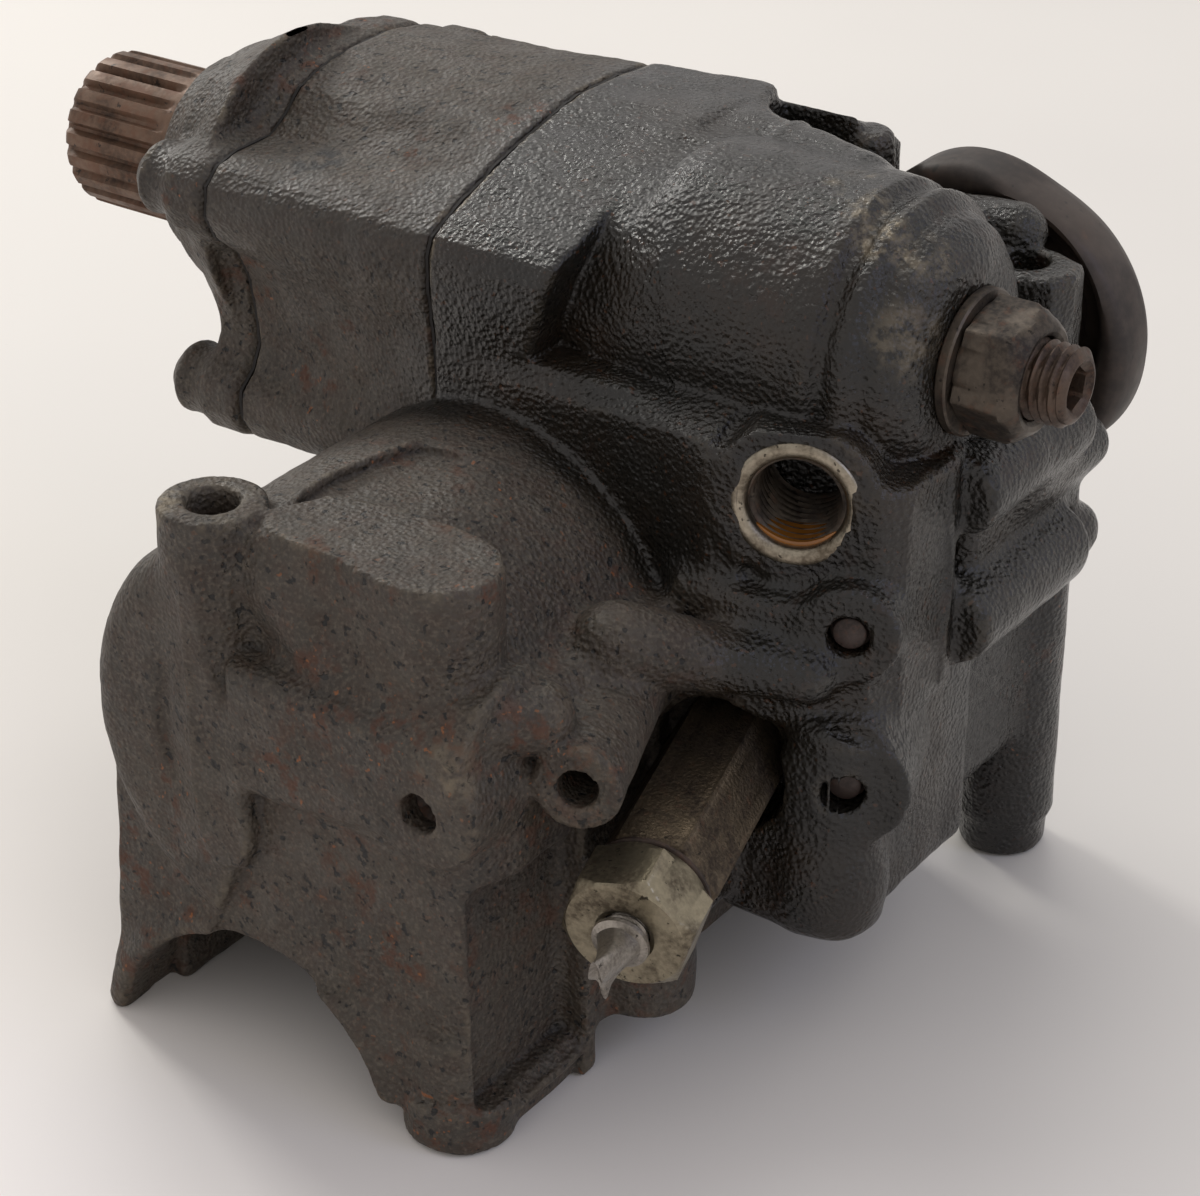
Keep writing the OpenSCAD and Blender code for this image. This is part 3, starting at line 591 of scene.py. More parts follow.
def cast_iron(name, dusty, oily):
    """Sand-cast iron. The mesh paints where it is wet, worn and rusty, and where it is darkened by
    dark marks and by painted shade in its hollows.
    """
    m = Nodes(name)
    wet, worn, rust, dirt = (m.attribute(layer) for layer in ("wet", "worn", "rust", "dirt"))
    grain, mottle, blotch = m.noise(1100, 4, 0.6), m.noise(230, 4, 0.6), m.noise(45, 4, 0.55)
    dust = m.mix(m.ramp(blotch, 0.35, 0.65), dusty, shades(dusty, 0.62))
    dust = m.mix(m.ramp(mottle, 0.35, 0.7, 0, 0.6), dust, tinted(dusty, 0.75, 0.52, 0.42))
    dust = m.mix(m.ramp(grain, 0.45, 0.72, 0, 0.6), dust, shades(dusty, 2.3))
    oil = m.mix(m.ramp(blotch, 0.4, 0.7), oily, tinted(oily, 1.9, 1.5, 1.25))
    base = m.mix(wet, dust, oil)
    rusty = m.times(m.ramp(m.noise(210, 5, 0.65), 0.5, 0.64), rust)
    base = m.mix(m.times(rusty, 0.7), base, RUST)
    flecks = m.times(m.ramp(m.noise(700, 2, 0.5), 0.66, 0.72), m.ramp(rust, 0, 1, 0.15, 0.9))
    base = m.mix(flecks, base, RUST_FLECK)
    pits = m.ramp(m.noise(520, 2, 0.5), 0.31, 0.37, 1, 0)
    pits = m.times(pits, m.ramp(wet, 0, 1, 1, 0.35))
    base = m.mix(pits, base, PIT)
    bare = m.times(m.ramp(m.noise(420, 4, 0.65), 0.36, 0.56), worn)
    base = m.mix(bare, base, BARE_IRON)
    # Painted shade in hollows and dark marks, mixed in as near-black colour
    base = m.mix(dirt, base, SHADE_AND_MARK_COLOUR)
    rough = m.ramp(wet, 0, 1, 0.57, 0.24)
    rough = m.plus(rough, m.ramp(m.noise(120, 3, 0.5), 0.3, 0.7, -0.07, 0.1))
    rough = m.plus(rough, m.times(rusty, 0.2))
    normal = m.bump(m.cells(950, 0.6), 0.5, 0.0009)
    normal = m.bump(grain, 0.6, 0.0005, normal)
    normal = m.bump(pits, 0.6, -0.0005, normal)
    return m.finish(base, rough, m.times(bare, 0.5), normal)


def worn_metal(name, colour, dark, rough, scale, rusty=0.0, metal=1.0, bump=0.25):
    """Machined metal with grime, and rust where it is asked for."""
    m = Nodes(name)
    grime = m.ramp(m.noise(scale * 0.35, 5, 0.6), 0.38, 0.66)
    fine = m.noise(scale * 3, 4, 0.6)
    base = m.mix(grime, colour, dark)
    base = m.mix(m.ramp(fine, 0.35, 0.7, 0, 0.45), base, shades(colour, 1.5))
    rust = m.ramp(m.noise(scale, 6, 0.7), 0.62 - 0.3 * rusty, 0.78 - 0.25 * rusty,
                  0, 0.2 + 0.7 * rusty)
    base = m.mix(rust, base, (0.13, 0.052, 0.024))
    specks = m.ramp(m.noise(scale * 1.7, 3, 0.6), 0.3, 0.36, 1, 0)
    base = m.mix(m.times(specks, 0.8), base, (0.01, 0.008, 0.006))
    roughness = m.plus(m.ramp(grime, 0, 1, rough, rough + 0.18), m.times(rust, 0.2))
    metallic = m.times(m.ramp(rust, 0, 1, 1, 0.2), metal)
    return m.finish(base, roughness, metallic, m.bump(fine, bump, 0.0003))


def plain_finish(name, colour, rough, metallic=0.0, grain=600, bump=0.15):
    m = Nodes(name)
    fac = m.noise(grain, 4, 0.6)
    base = m.mix(m.ramp(fac, 0.3, 0.7), shades(colour, 0.75), shades(colour, 1.2))
    roughness = m.ramp(fac, 0.3, 0.7, max(rough - 0.05, 0.02), rough + 0.07)
    return m.finish(base, roughness, metallic, m.bump(fac, bump, 0.0003))


WORN = {  # name, colour, grime, roughness, scale, then perhaps rust, metal and bump
    "spline": ("rusty_spline", (0.14, 0.085, 0.055), (0.05, 0.03, 0.02), 0.5, 260, 0.55, 0.4),
    "ring": ("machined_ring", (0.30, 0.265, 0.205), (0.13, 0.105, 0.075), 0.32, 420),
    "hex": ("brown_hex", (0.115, 0.088, 0.058), (0.035, 0.026, 0.02), 0.36, 420, 0.25, 0.85, 0.9),
    "nut": ("plated_nut", (0.27, 0.235, 0.165), (0.09, 0.072, 0.05), 0.33, 300, 0.12, 0.9),
    "dark_nut": ("dark_nut", (0.085, 0.068, 0.052), (0.028, 0.023, 0.02), 0.4, 280, 0.3, 0.7),
    "stub": ("sheared_stub", (0.30, 0.275, 0.24), (0.17, 0.15, 0.125), 0.36, 500, 0.08, 0.9),
    "screw": ("rusty_screw", (0.085, 0.058, 0.042), (0.03, 0.02, 0.016), 0.42, 420, 0.35, 0.6),
    "washer": ("dark_washer", (0.055, 0.036, 0.027), (0.022, 0.016, 0.013), 0.5, 300, 0.4, 0.3),
    "flange": ("oily_flange", (0.050, 0.036, 0.028), (0.022, 0.016, 0.013), 0.42, 90, 0.1, 0.1),
    "plug": ("grey_plug", (0.05, 0.035, 0.03), (0.022, 0.016, 0.013), 0.45, 500, 0.3, 0.3),
    "steel": ("ground_steel", (0.55, 0.54, 0.52), (0.35, 0.34, 0.33), 0.28, 260),
}
PLAIN = {  # name, colour, roughness, then perhaps metal, scale and bump
    "bronze": ("bearing_bronze", (0.55, 0.36, 0.15), 0.35, 1),
    "rubber": ("black_rubber", (0.02, 0.02, 0.02), 0.6),
    "gasket": ("gasket_paper", (0.012, 0.010, 0.009), 0.8, 0, 900, 0.4),
    "oil": ("amber_oil", (0.30, 0.115, 0.018), 0.06, 0, 60, 0.02),
    "black_oil": ("black_oil", (0.006, 0.006, 0.006), 0.04, 0, 60, 0.02),
}


def make_materials():
    mat = {"cast": cast_iron("casting", (0.052, 0.0425, 0.0315), (0.0095, 0.0084, 0.0064))}
    mat.update({key: worn_metal(*row) for key, row in WORN.items()})
    mat.update({key: plain_finish(*row) for key, row in PLAIN.items()})
    return mat


def dress(ob, material, angle, replaces=(), body="housing"):
    """Shades a piece, gives it its material and body, and hides the CAD nodes it stands for."""
    shade(ob, angle)
    ob.data.materials.clear()
    ob.data.materials.append(material)
    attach(ob, body)
    if replaces:
        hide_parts(*replaces)


# ---- castings

def around(centre, way, d, r, start, stop, count):
    """Points on an arc about an axis, d along it, from angle start to stop in degrees."""
    a, side, up = frame_axes(way)
    points = []
    for i in range(count):
        t = radians(start + (stop - start) * i / (count - 1))
        points.append(tuple(Vector(centre) + a * d + (side * cos(t) + up * sin(t)) * r))
    return points


def neck(f):
    """The hollow between the shoulder and the barrel, wider towards the bottom."""
    def distance(x, y, z):
        start = 151 - 0.3 * np.maximum(16 - z, 0)
        stop = 164 + 0.27 * (30 - z)
        t = np.clip((x - start) / (stop - start), 0, 1)
        floor = 27.6 + 3.9 * t ** 1.4 + 2 * np.maximum(x - stop, 0)
        wall = np.maximum(start - x, -6.8 - z)
        return np.maximum(wall, 0.8 * (floor - np.sqrt(y * y + z * z)))
    f.cut((distance, np.array([138, -46, -20]), np.array([178, 40, 40])), 1.6)


def barrel_parts(f):
    f.add(prism(SEAM2, 0, MAIN_START, 168, 1), 1)
    f.add(turned([(157.5, 0), (157.5, 27), (160, 31.5), (203, 31.4), (204.4, 29.6), (205.6, 28.9),
                  (207.1, 29.4), (208.7, 30.3), (210.2, 30.2), (211.5, 28.9), (212.9, 27.1),
                  (214.2, 26.7), (216.2, 26), (218.8, 23.4), (221, 19.5), (221.4, 16.5),
                  (221.4, 0)]), 0.8)
    neck(f)
    f.add(prism([(MAIN_START, 40), (136, 42.3), (146.5, 44.4), (149.8, 43.6), (151.5, 38),
                 (158, 27), (165, 12), (165, 6), (MAIN_START, 6)], 2, -5, 27.8, 1.6), 0.8)
    # Fin, rail, knobs and hole block behind the barrel
    f.add(bar([(156, 25, 20.5), (174, 18, 23.8), (188.5, 13, 25)], [7.5, 6.4, 5.4]), 3)
    f.add(rod((150, 46, 2), (198, 44, 2), 8, edge=3), 4)
    f.add(bar([(160, 50, 3), (186, 50.5, 3.2), (203.2, 51.6, 4.4)], [7.5, 6.6, 6.5]), 2.5)
    f.add(rod((168.5, 50, -6), (168.5, 50, 20), 6.3, 5.4, 2.4), 2.5)
    f.add(prism([(196, 38), (202, 34), (214, 32.6), (220.5, 35), (222.6, 41), (221, 48),
                 (213, 51.5), (203, 51), (197, 46)], 2, -40, 3.4, 2), 1.6)


def shelf_parts(f):
    f.add(prism([(-36.5, -9.8), (-36.2, -60), (20, -60), (20, -4), (-28, -5.2)],
                0, 119.9, 190, 1.4,
                end=[(-42.6, -9.4), (-38.5, -60), (20, -60), (20, -4), (-29, -5.2)]), 1.8)
    f.add(prism([(-36.5, -10.5), (-36.2, -60), (20, -60), (20, -6), (-28, -6.8)],
                0, 180, 205, 1.6), 2)
    f.add(block((150, 10, -62), (209, 46, -6), 4), 3)
    f.add(prism([(176, -36), (203, -37.8), (222, -30.2), (222, -4), (214, 0), (214, 36),
                 (176, 36)], 2, -66, -15.2, 2.2), 2.5)
    f.add(prism([(176, -34), (206, -36.5), (222, -32), (222, 8), (200, 20), (176, 34)],
                2, -113, -60, 3), 3)
    f.add(prism([(212, -34), (221.5, -32.5), (225.3, -27), (225.4, -9), (222, -3), (212, -3)],
                2, -68, -15.4, 1.8), 2)
    f.add(bar([(225.2, -12, -18), (225.6, -11, -40), (225.3, -11.5, -64)], 0.8), 0.8)
    # Two cross passages and what fills the space between them
    for z, end in ((-26, 38), (-55, 40)):
        f.add(rod((223, -6, z), (223, end, z), 9, edge=2.5), 3)
    f.add(block((200, 0, -66), (224.5, 50, -24), 4), 3)
    f.add(bar([(220, 24, -35), (222, 49, -37)], [8, 6.5]), 4)
    f.add(bar([(219, 20, -62), (221, 50, -58)], [8, 6.5]), 4)
    # Neck and stub that the flange runs on
    for end, r, blend in ((60.2, 14, 3), (81.2, 9, 1)):
        f.add(stub(FLANGE, Y, 20, end, r, edge=1), blend)
    # Port, passage and plug bosses
    f.add(below(stub(PORT, PORT_WAY, -28, 0, 17.5, 16.4, 0.8), -5.6), 2.5)
    f.add(prism([(160, -36), (175, -38.5), (189.5, -43), (196, -41), (196, -20), (160, -20)],
                2, -42, -11.2, 2.2), 3)
    f.add(prism([(176, -36), (184, -45.5), (199, -46), (211, -41.8), (222, -35), (222, -20),
                 (176, -20)], 2, -66, -38, 3.6), 4)
    for spot, start, low_r, top_r in ((PLUGS[0], -22, 11, 10), (PLUGS[1], -24, 14, 13)):
        f.add(stub(spot, PORT_WAY, start, 0.2, low_r, top_r, 0.9), 2.5)
    f.add(stub(VALVE, VALVE_WAY, -16, 0.6, 17.4, 16, 1), 3)
    f.add(bar(around(VALVE, VALVE_WAY, 1, 15.2, -35, 125, 16), 1.1), 1.2)
    # Column under the front corner, and the webs to it
    f.add(block((194, -44, -112), (215.5, -24, -70), 3.5), 3)
    f.add(rod((*COLUMN, -112), (*COLUMN, -62), 10.4, edge=3.5), 3)
    f.add(bar([(215.5, -34.5, -101), (215.5, -34.5, -98)], 11.2), 3)
    f.add(block((203, 26, -108), (216, 48, -50), 3), 4)


def drum_parts(f):
    f.add(rod((136, -112, -65), (136, 34, -65), 46, edge=8), 1)
    # The front face steps back above the ledge and right of the tower
    f.cut(block((123, -125, -46), (192, -105.6, 10), 3), 2.5)
    f.cut(rod((139, -116, -64), (139, -110.8, -64), 29.6, 29.6, 0.2), 1)
    f.cut(prism([(131, -72.6), (190, -72.6), (190, -113), (118, -113), (127, -92)],
                1, -120, -109.2, 1.5), 1.4)
    f.cut(prism([(129, -92), (128, -79), (132.5, -59), (152, -55), (160, -80), (137, -86)],
                2, -20.8, -10, 0.5), 0.8)
    # Bolt tower, with the web below it and the flash lines
    f.add(rod((*TOWER, -92), (*TOWER, -17), 10.8, 10.5, 0.6), 1.8)
    f.add(prism([(118.8, -28), (119.2, -72), (120.2, -84), (124.5, -91.5), (130, -90.5),
                 (132.4, -84), (131.5, -70), (129.5, -56), (124, -44), (123.5, -28)],
                1, -113.3, -100, 1.6), 1.2)
    f.add(bar([(118.9, -112.7, -31), (119.7, -113, -45), (119.7, -113.1, -62),
               (119.4, -113.1, -73), (120.2, -113, -84), (123.5, -112.6, -91)], 0.85), 0.6)
    f.add(bar([(130, -97, -19.4), (128.5, -88, -19.2), (128, -79, -19.2), (130, -68, -19.2),
               (132.5, -59, -19.4)], 0.9), 1.2)
    f.add(bar([(136, -99.5, -28.5), (146, -100.5, -37), (153, -101.5, -45)], [9, 9.3, 8]), 4)
    # Pad with its flat top
    f.add(prism([(129, -99), (134.6, -87), (147, -84), (160, -83.4), (167.5, -84.2),
                 (174, -86.2), (178.6, -91), (180.2, -96), (179.2, -101.5), (176, -105.8),
                 (170.8, -108.3), (163.5, -108.4), (152, -106.3), (141, -106), (133, -104)],
                2, -62, -17.6, 0.8), 1.4)
    # Ledge with its two ears, and the slope behind it
    f.add(bar([(140, -101, -47), (162, -101, -45.5), (178, -99, -45.5), (186, -92, -46)],
              [8, 8, 7.5, 7]), 3)
    f.add(prism([(128, -72), (137.6, -71.8), (160, -69.9), (180, -69.2), (186.3, -61.5),
                 (185, -53), (181, -47.2), (165, -45), (140, -44), (128, -44)],
                1, -113.4, -88, 3.2), 2)
    f.add(prism([(-113.2, -48), (-108, -45.5), (-100, -44.5), (-90, -44.5), (-90, -62),
                 (-113.2, -62)], 0, 130, 184, 1.6,
                end=[(-113.2, -46.5), (-107, -38.5), (-98, -36), (-90, -36), (-90, -62),
                     (-113.2, -62)]), 2)
    f.add(rod((175.4, -113.4, -59.6), (175.4, -88, -59.6), 11.8, edge=1.4), 1.6)
    f.add(stub(SIDE_BOSS, PORT_WAY, -40, 0.2, 8.8, 8.6, 0.8), 2)
    f.add(block((160, -90, -75), (186, -30, -44), 5), 4)
    f.add(bar([(184, -64, -44), (198, -50, -50), (213, -42, -52)], [8, 6.5, 5.5]), 4)


def base_parts(f):
    f.add(prism([(-112.3, -138), (-108.4, -92), (-107, -60), (34, -60), (34, -138)],
                0, 92, 174.5, 1.6), 1)
    f.add(rod((174, -100.2, -138), (174, -99.4, -60), 12.1, 11.2, 1.6), 1.4)
    f.add(block((150, -100, -138), (186.2, 34, -60), 1.8), 1.4)
    # Rolled rim of the arch, thicker towards the left foot
    rim = [(128.5 + 36.4 * cos(a), -108.4 - 2.2 * (1 - sin(a)),
            -145 + 36.4 * sin(a)) for a in np.radians(np.linspace(18, 166, 26))]
    f.add(bar(rim, [2.2] * 6 + [2.6] * 7 + [3.4] * 7 + [4.2] * 6), 3)
    f.add(bar([(92.5, -106.5, -132), (93.5, -107.5, -135.5)], [3, 2.4]), 2.5)
    f.add(rod((187, -59, -127), (187, -59, -96), 11, edge=2), 3)
    f.add(block((176, -63, -108), (199, -35, -96), 3), 4)
    f.add(rod((*BACK_LEG, -137.9), (*BACK_LEG, -128), 9.6, 9.9, 1.4), 0.5)
    f.add(rod((*BACK_LEG, -130), (*BACK_LEG, -62), 10.9, 10.4, 1.8), 1.5)
    f.add(block((182, 0, -107), (218.5, 51, -60), 4), 3)
    # The hollow with its arch, and the recess beside the front foot
    f.cut(block((99, -105, -150), (174, 27, -71), 4), 1.5)
    f.cut(rod((128.5, -122, -144), (128.5, -99, -144), 34.2, edge=0.2), 1.6)
    f.cut(block((179, -108, -130), (192, -77, -77), 3.2), 1.4)
    f.cut(block((172, -73, -143), (190, 36, -128), 1), 1.5)
    # The foot is turned a little smaller than the wall that it ends
    f.cut(prism([(150, -120), (200, -120), (200, -78), (150, -78)], 2, -140, -132.4, 0.2), 0.6)
    f.add(rod((174, -102.7, -138), (174, -102.3, -128), 11.1, 11.6, 0.9), 0.6)
    f.add(block((169, -100, -138), (184, -74, -128), 2), 0.8)


def main_openings(f):
    # Room for the gear housing, the rotating group, its levers and the studs
    f.cut(block((60, -35.6, -55.2), (MAIN_START, 96, 61), 0.2), 0.2)
    f.bores(0, [(119, 194, 0, 0, 20.5), (155.5, 194, 0, 0, 24.5), (193, 213, 0, 0, 17),
                (208, 222, 0, 0, 8.3), (139, 177, 0, -50, 9.05), (184, 215, 0, -50, 8)])
    f.bores(1, [(-23, 23, 176.1, -29, 3.2)])
    f.cut(block((165.6, -12, -62), (188.6, 12, 0), 0.3), 0.3)
    f.bores(0, [(119.5, 145.5, *ear, 4.1) for ear in EARS])
    # Openings that are seen from outside
    f.bore(PORT, PORT_WAY, -22, 3, 10.6)
    for plug in PLUGS:
        f.bore(plug, PORT_WAY, -8, 3, 4.3)
    f.bore(SIDE_BOSS, PORT_WAY, -16, 3, 4)
    f.bore(VALVE, VALVE_WAY, -10, 4, 9)
    f.bores(1, [(-116, -96, *STUD, 4.1)])
    f.bores(2, [(-92, -15, *TOWER, 5.25), (-9, 5, 210.4, 42.6, 4.8)])
    f.bores(1, [(26, 42, 223, -26, 5.6), (28, 44, 223, -55, 5.6)])
    f.cut(stub(VALVE, VALVE_WAY, -4, 5, 14.2, edge=0.4), 0.6)
    f.cut(stub(VALVE - np.array([1.6, 0, 0]), VALVE_WAY, 3.2, 75, 15.6, edge=0.2), 1)
    for plug, r in zip(PLUGS, (11.2, 13.2)):
        f.cut(bar(around(plug, PORT_WAY, 0.9, r, 48, 104, 6), [0.9, 1.6, 1.9, 1.8, 1.3, 0.7]), 0.8)


def roughen(skin, rough, lumps):
    """Raises cast lumps on a skin. Returns how far each point stood out before, and a grit."""
    p, n = skin.p, skin.normals()
    bulge = skin.bulge(SPREAD)
    skin.p = p + n * (mixed(p, *lumps) * rough)[:, None]
    return bulge, mixed(p, (2.2, 0.6, 3), (0.9, 0.4, 4))


def main_casting(mat):
    f = Field((86, -119, -141), (238, 84, 36), MAIN_CELL)
    base_parts(f)
    drum_parts(f)
    shelf_parts(f)
    barrel_parts(f)
    main_openings(f)
    ob = f.mesh("main_casting")
    skin = Skin(ob)
    p = skin.p
    x, y, z = p.T
    along = (p - PORT) @ PORT_WAY
    radial = np.linalg.norm(p - PORT - along[:, None] * PORT_WAY, axis=1)
    port = (1 - step(radial, 14, 19)) * step(along, -26, -20)
    tower_top = near(p * [1, 1, 0], (*TOWER, 0), 11, 1) * step(z, -19, -17.6)
    machined = np.maximum(port, tower_top)
    rough = (0.1 + 0.9 * step(np.abs(x - MAIN_START), 0.5, 3)) * (1 - 0.85 * machined)
    bulge, grit = roughen(skin, rough, ((7, 0.22, 7), (3, 0.10, 8), (1.6, 0.05, 12)))
    # Oil on the barrel and down the adjuster end
    edge = mixed(p, (16, 4, 5), (5, 2.5, 6))
    wet = step(y + 0.5 * edge, -49, -42) * step(z + 0.6 * edge, -76, -62)
    wet = np.maximum(wet, step(x + 0.25 * (y + 40) + 1.5 * edge, 189, 203))
    # Bare metal on edges, on chipped corners, along the seam and in patches on the barrel's end
    worn = step(bulge + 0.05 * grit, 0.14, 0.34) * step(noise(p, 9, 9) + grit, -0.3, 0.6)
    chip = near(p, (181.4, -113, -49), 3, 5) * step(grit, -0.35, 0.2) \
        + near(p, (110, -109, -19), 3, 6) * step(z, -24, -18)
    worn = np.maximum(worn * (0.35 - 0.2 * wet), chip)
    lip = (1 - step(np.abs(x - 120.6), 0.5, 1.1)) * step(z, -2, 4)
    worn = np.maximum(worn, lip * step(noise(p, 3.5, 24) + 0.5 * grit, -0.45, 0.1))
    bare = patches(p, ((196.5, -3, 31), 4, 3, 1), ((202, -9, 29), 3, 3, 1),
                   ((208.5, -13, 26), 4, 3, 1), ((216, -10, 22), 3, 5, 0.7),
                   ((217, -19, 10), 4, 6, 0.6))
    worn = np.maximum(worn, bare * step(grit, -0.25, 0.25))
    rust = step(mixed(p, (16, 1, 10), (5, 0.5, 11)), 0, 0.8) * (1 - 0.85 * wet)
    spots = patches(p, ((218.5, 40.8, -108), 2, 3, 1), ((218.5, 12.5, -84), 1.5, 3, 1))
    legs = patches(p, ((212, 44, -84), 12, 8, 1), ((94, -106, -118), 16, 14, 1))
    rust = np.maximum(np.maximum(rust, spots), legs * step(noise(p, 6, 13), -0.3, 0.5))
    # Painted shade in hollows, weaker where wet, with a dark ring round the port's face and darker
    # low on the adjuster end
    dirt = step(-bulge + 0.04 * grit, 0.2, 0.7) * (0.7 - 0.35 * wet)
    halo = step(radial, 12.8, 13.4) * (1 - step(radial, 14.2, 15.2)) * step(along, -3, -1)
    back = step(x, 200, 208) * step(y, -4, 2) * step(-z, 56, 64) * 0.45
    dirt = np.maximum(dirt, np.maximum(0.75 * halo, back))
    skin.p[:, 2] = np.maximum(skin.p[:, 2], GROUND + 0.05)
    skin.write()
    skin.paint(wet=wet, worn=worn, rust=rust, dirt=dirt)
    thin_out(ob, MOST_FACES)
    dress(ob, mat["cast"], 0, ["main_housing"])


def front_fields():
    case = Field((60, -46, -57), (123, 71, 33), FRONT_CELL)
    case.add(prism(SEAM1, 0, CASE_START, CASE_END, 0.7, end=SEAM2), 1)
    case.bores(0, [(60, GEAR_END, 0, 0, GEAR_R), (60, GEAR_END, *DRIVEN, GEAR_R),
                   (60, 123, 0, 0, 9), (60, GEAR_END + 5, *DRIVEN, 8)])
    case.bores(0, [(60, 123, *ear, 4.4) for ear in EARS])
    cover = Field((31, -46, -57), (64, 71, 33), FRONT_CELL)
    cover.add(prism(SEAM1, 0, 50.5, COVER_END, 2.2), 1)
    cover.add(rod((34, 0, 0), (44, 0, 0), 22.4, 26.5, 1.2), 1)
    cover.add(rod((42, 0, 0), (57, 0, 0), 26.2, 34, 1), 4)
    for ear in EARS:
        cover.add(rod((40, *ear), (44, *ear), 5, 7.6, 0.8), 1)
        cover.add(rod((43, *ear), (61, *ear), 7.6, 8.2, 1.2), 3)
    cover.add(rod((48, *DRIVEN), (60, *DRIVEN), 15, 16, 1.5), 3)
    cover.bores(0, [(32, 64, 0, 0, 15), (33, 43, 0, 0, 19), (43, 63, 0, 0, 20.5),
                    (54, 63, *DRIVEN, 8)])
    cover.bores(0, [(48, 63, *ear, 4.1) for ear in EARS])
    return (case, "gear_housing", "gear_case"), (cover, "front_cover", "cover_casting")


def front_castings(mat):
    for f, node, name in front_fields():
        ob = f.mesh(name)
        skin = Skin(ob)
        p = skin.p
        rough = np.ones(len(p))
        for seam in (COVER_END, CASE_START, CASE_END):
            rough *= 0.1 + 0.9 * step(np.abs(p[:, 0] - seam), 0.5, 2.5)
        bulge, grit = roughen(skin, rough, ((6.5, 0.2, 17), (2.6, 0.1, 18), (1.5, 0.05, 22)))
        wet = step(p[:, 0] + 8 * noise(p, 14, 15), 100, 124) * 0.75
        wet = np.maximum(wet, 0.5 * near(p * [0, 1, 1], (0, -33, 9), 4, 7))
        worn = step(bulge + 0.06 * grit, 0.16, 0.4) * step(noise(p, 8, 19) + grit, -0.2, 0.7) * 0.6
        rust = step(mixed(p, (14, 1, 20), (4, 0.5, 21)), 0.2, 0.9)
        # Painted shade in hollows, with a patch of dark pits on top
        dirt = step(-bulge + 0.04 * grit, 0.2, 0.6) * 0.7
        pits = near(p, (82, -25, 19), 3, 6) * step(noise(p, 1.6, 23), -0.05, 0.3)
        skin.write()
        skin.paint(wet=wet, worn=worn, rust=rust, dirt=np.maximum(dirt, pits))
        thin_out(ob, MOST_FRONT_FACES)
        dress(ob, mat["cast"], 0, [node])


# ---- fittings

def splined_shaft(mat):
    """The shaft and its splined stub, whose rounded teeth run out towards the seal."""
    teeth, top_r = 21, 17.46

    def toothed(top, deep):
        def radius(a):
            wave = 0.5 - 0.5 * cos(2 * pi * ((a * teeth / (2 * pi)) % 1))
            cut = min(max(2.6 * wave - 1.35, 0), 1) * (1 + 0.25 * sin(7 * a))
            return top - deep * cut, 0.12 * sin(3 * a) * (top > 17)
        return radius
    rows = [(s, toothed(top, deep)) for s, top, deep in (
        (0, 14.6, 0), (0.5, 15.6, 0.6), (1.6, 16.9, 1.3), (2.6, 17.4, 1.6), (8, top_r, 1.6),
        (20, top_r, 1.6), (25, top_r, 1.5), (27, top_r, 1.1), (28.6, top_r, 0.4),
        (29.4, top_r, 0), (31, 17.4, 0), (32.6, 13.4, 0), (33, 13, 0))]
    rows = [(4, 0.5), (0, 4)] + rows + [(59, 13), (59, 7.5), (SHAFT_END, 7.5)]
    ob = lathe("splined_shaft", (0, 0, 0), X, rows, teeth * 12, False)
    dress(ob, mat["spline"], 40, ["drive_shaft"], "rotor")


def seams(mat):
    """The paper seals, with an uneven outer edge."""
    cy, cz = 12, -9.0
    for x, outline, node, name in ((COVER_END, SEAM1, "cover_gasket", "front_seam"),
                                   (CASE_END, SEAM2, "housing_gasket", "rear_seam")):
        ring = []
        for (y0, z0), (y1, z1) in zip(outline, outline[1:] + outline[:1]):
            steps = max(int(hypot(y1 - y0, z1 - z0) / 1.2), 1)
            ring += [(y0 + (y1 - y0) * i / steps, z0 + (z1 - z0) * i / steps)
                     for i in range(steps)]
        edge = np.array([(x, y, z) for y, z in ring])
        inset = 0.55 + 0.35 * noise(edge, 4, 31) + 0.2 * noise(edge, 1.5, 32)
        verts, faces = [], []
        for (y, z), d in zip(ring, inset):
            r = hypot(y - cy, z - cz)
            outer, inner = (r - d) / r, min(30, r - 3) / r
            for k, s in ((outer, 0.04), (outer, 0.76), (inner, 0.76), (inner, 0.04)):
                verts.append(place((x + s, cy + (y - cy) * k, cz + (z - cz) * k)))
        for i in range(len(ring)):
            j = (i + 1) % len(ring)
            for k in range(4):
                m = (k + 1) % 4
                faces.append((i * 4 + k, j * 4 + k, j * 4 + m, i * 4 + m))
        dress(build(name, verts, faces), mat["gasket"], 30, [node])


def adjuster_parts(mat):
    ob = lathe("sealing_washer", (221.5, 0, 0), X,
               [(0, 8.35), (0, 14.2), (0.4, 14.6), (2, 14.6), (2.4, 14.2), (2.4, 8.35)], 96)
    dress(ob, mat["dark_nut"], 40, ["seal_washer"])
    rows = [(224.1, 8.35)]
    rows += [(s, hexagon(24, r, 0.2)) for s, r in ((224.1, 12.2), (224.6, 13.9), (232.4, 13.9),
                                                   (234, 12.9), (235.2, 11.9))]
    rows += [(236.6, 10.9), (237, 10.2), (236.9, 9.2), (236.2, 8.35)]
    ob = lathe("adjuster_nut", (0, 0, 0), X, rows, 144)
    dress(ob, mat["dark_nut"], 28, ["lock_nut"])
    socket = hexagon(8, 99, radians(20))
    rows = [(210.6, 6.8), (211.4, 7.7)] + screw_rows(211.6, 243.4, 7.98, 0.95, 2, 0.28)
    rows += [(244.1, 6.9), (244.6, 6.2), (244.7, 5.6), (243.9, 4.75), (243.5, socket),
             (236.2, socket), (235.6, 1)]
    ob = lathe("adjuster_screw", (0, 0, 0), X, rows, 120, False)
    dress(ob, mat["screw"], 40, ["adjusting_screw"], "adjuster")


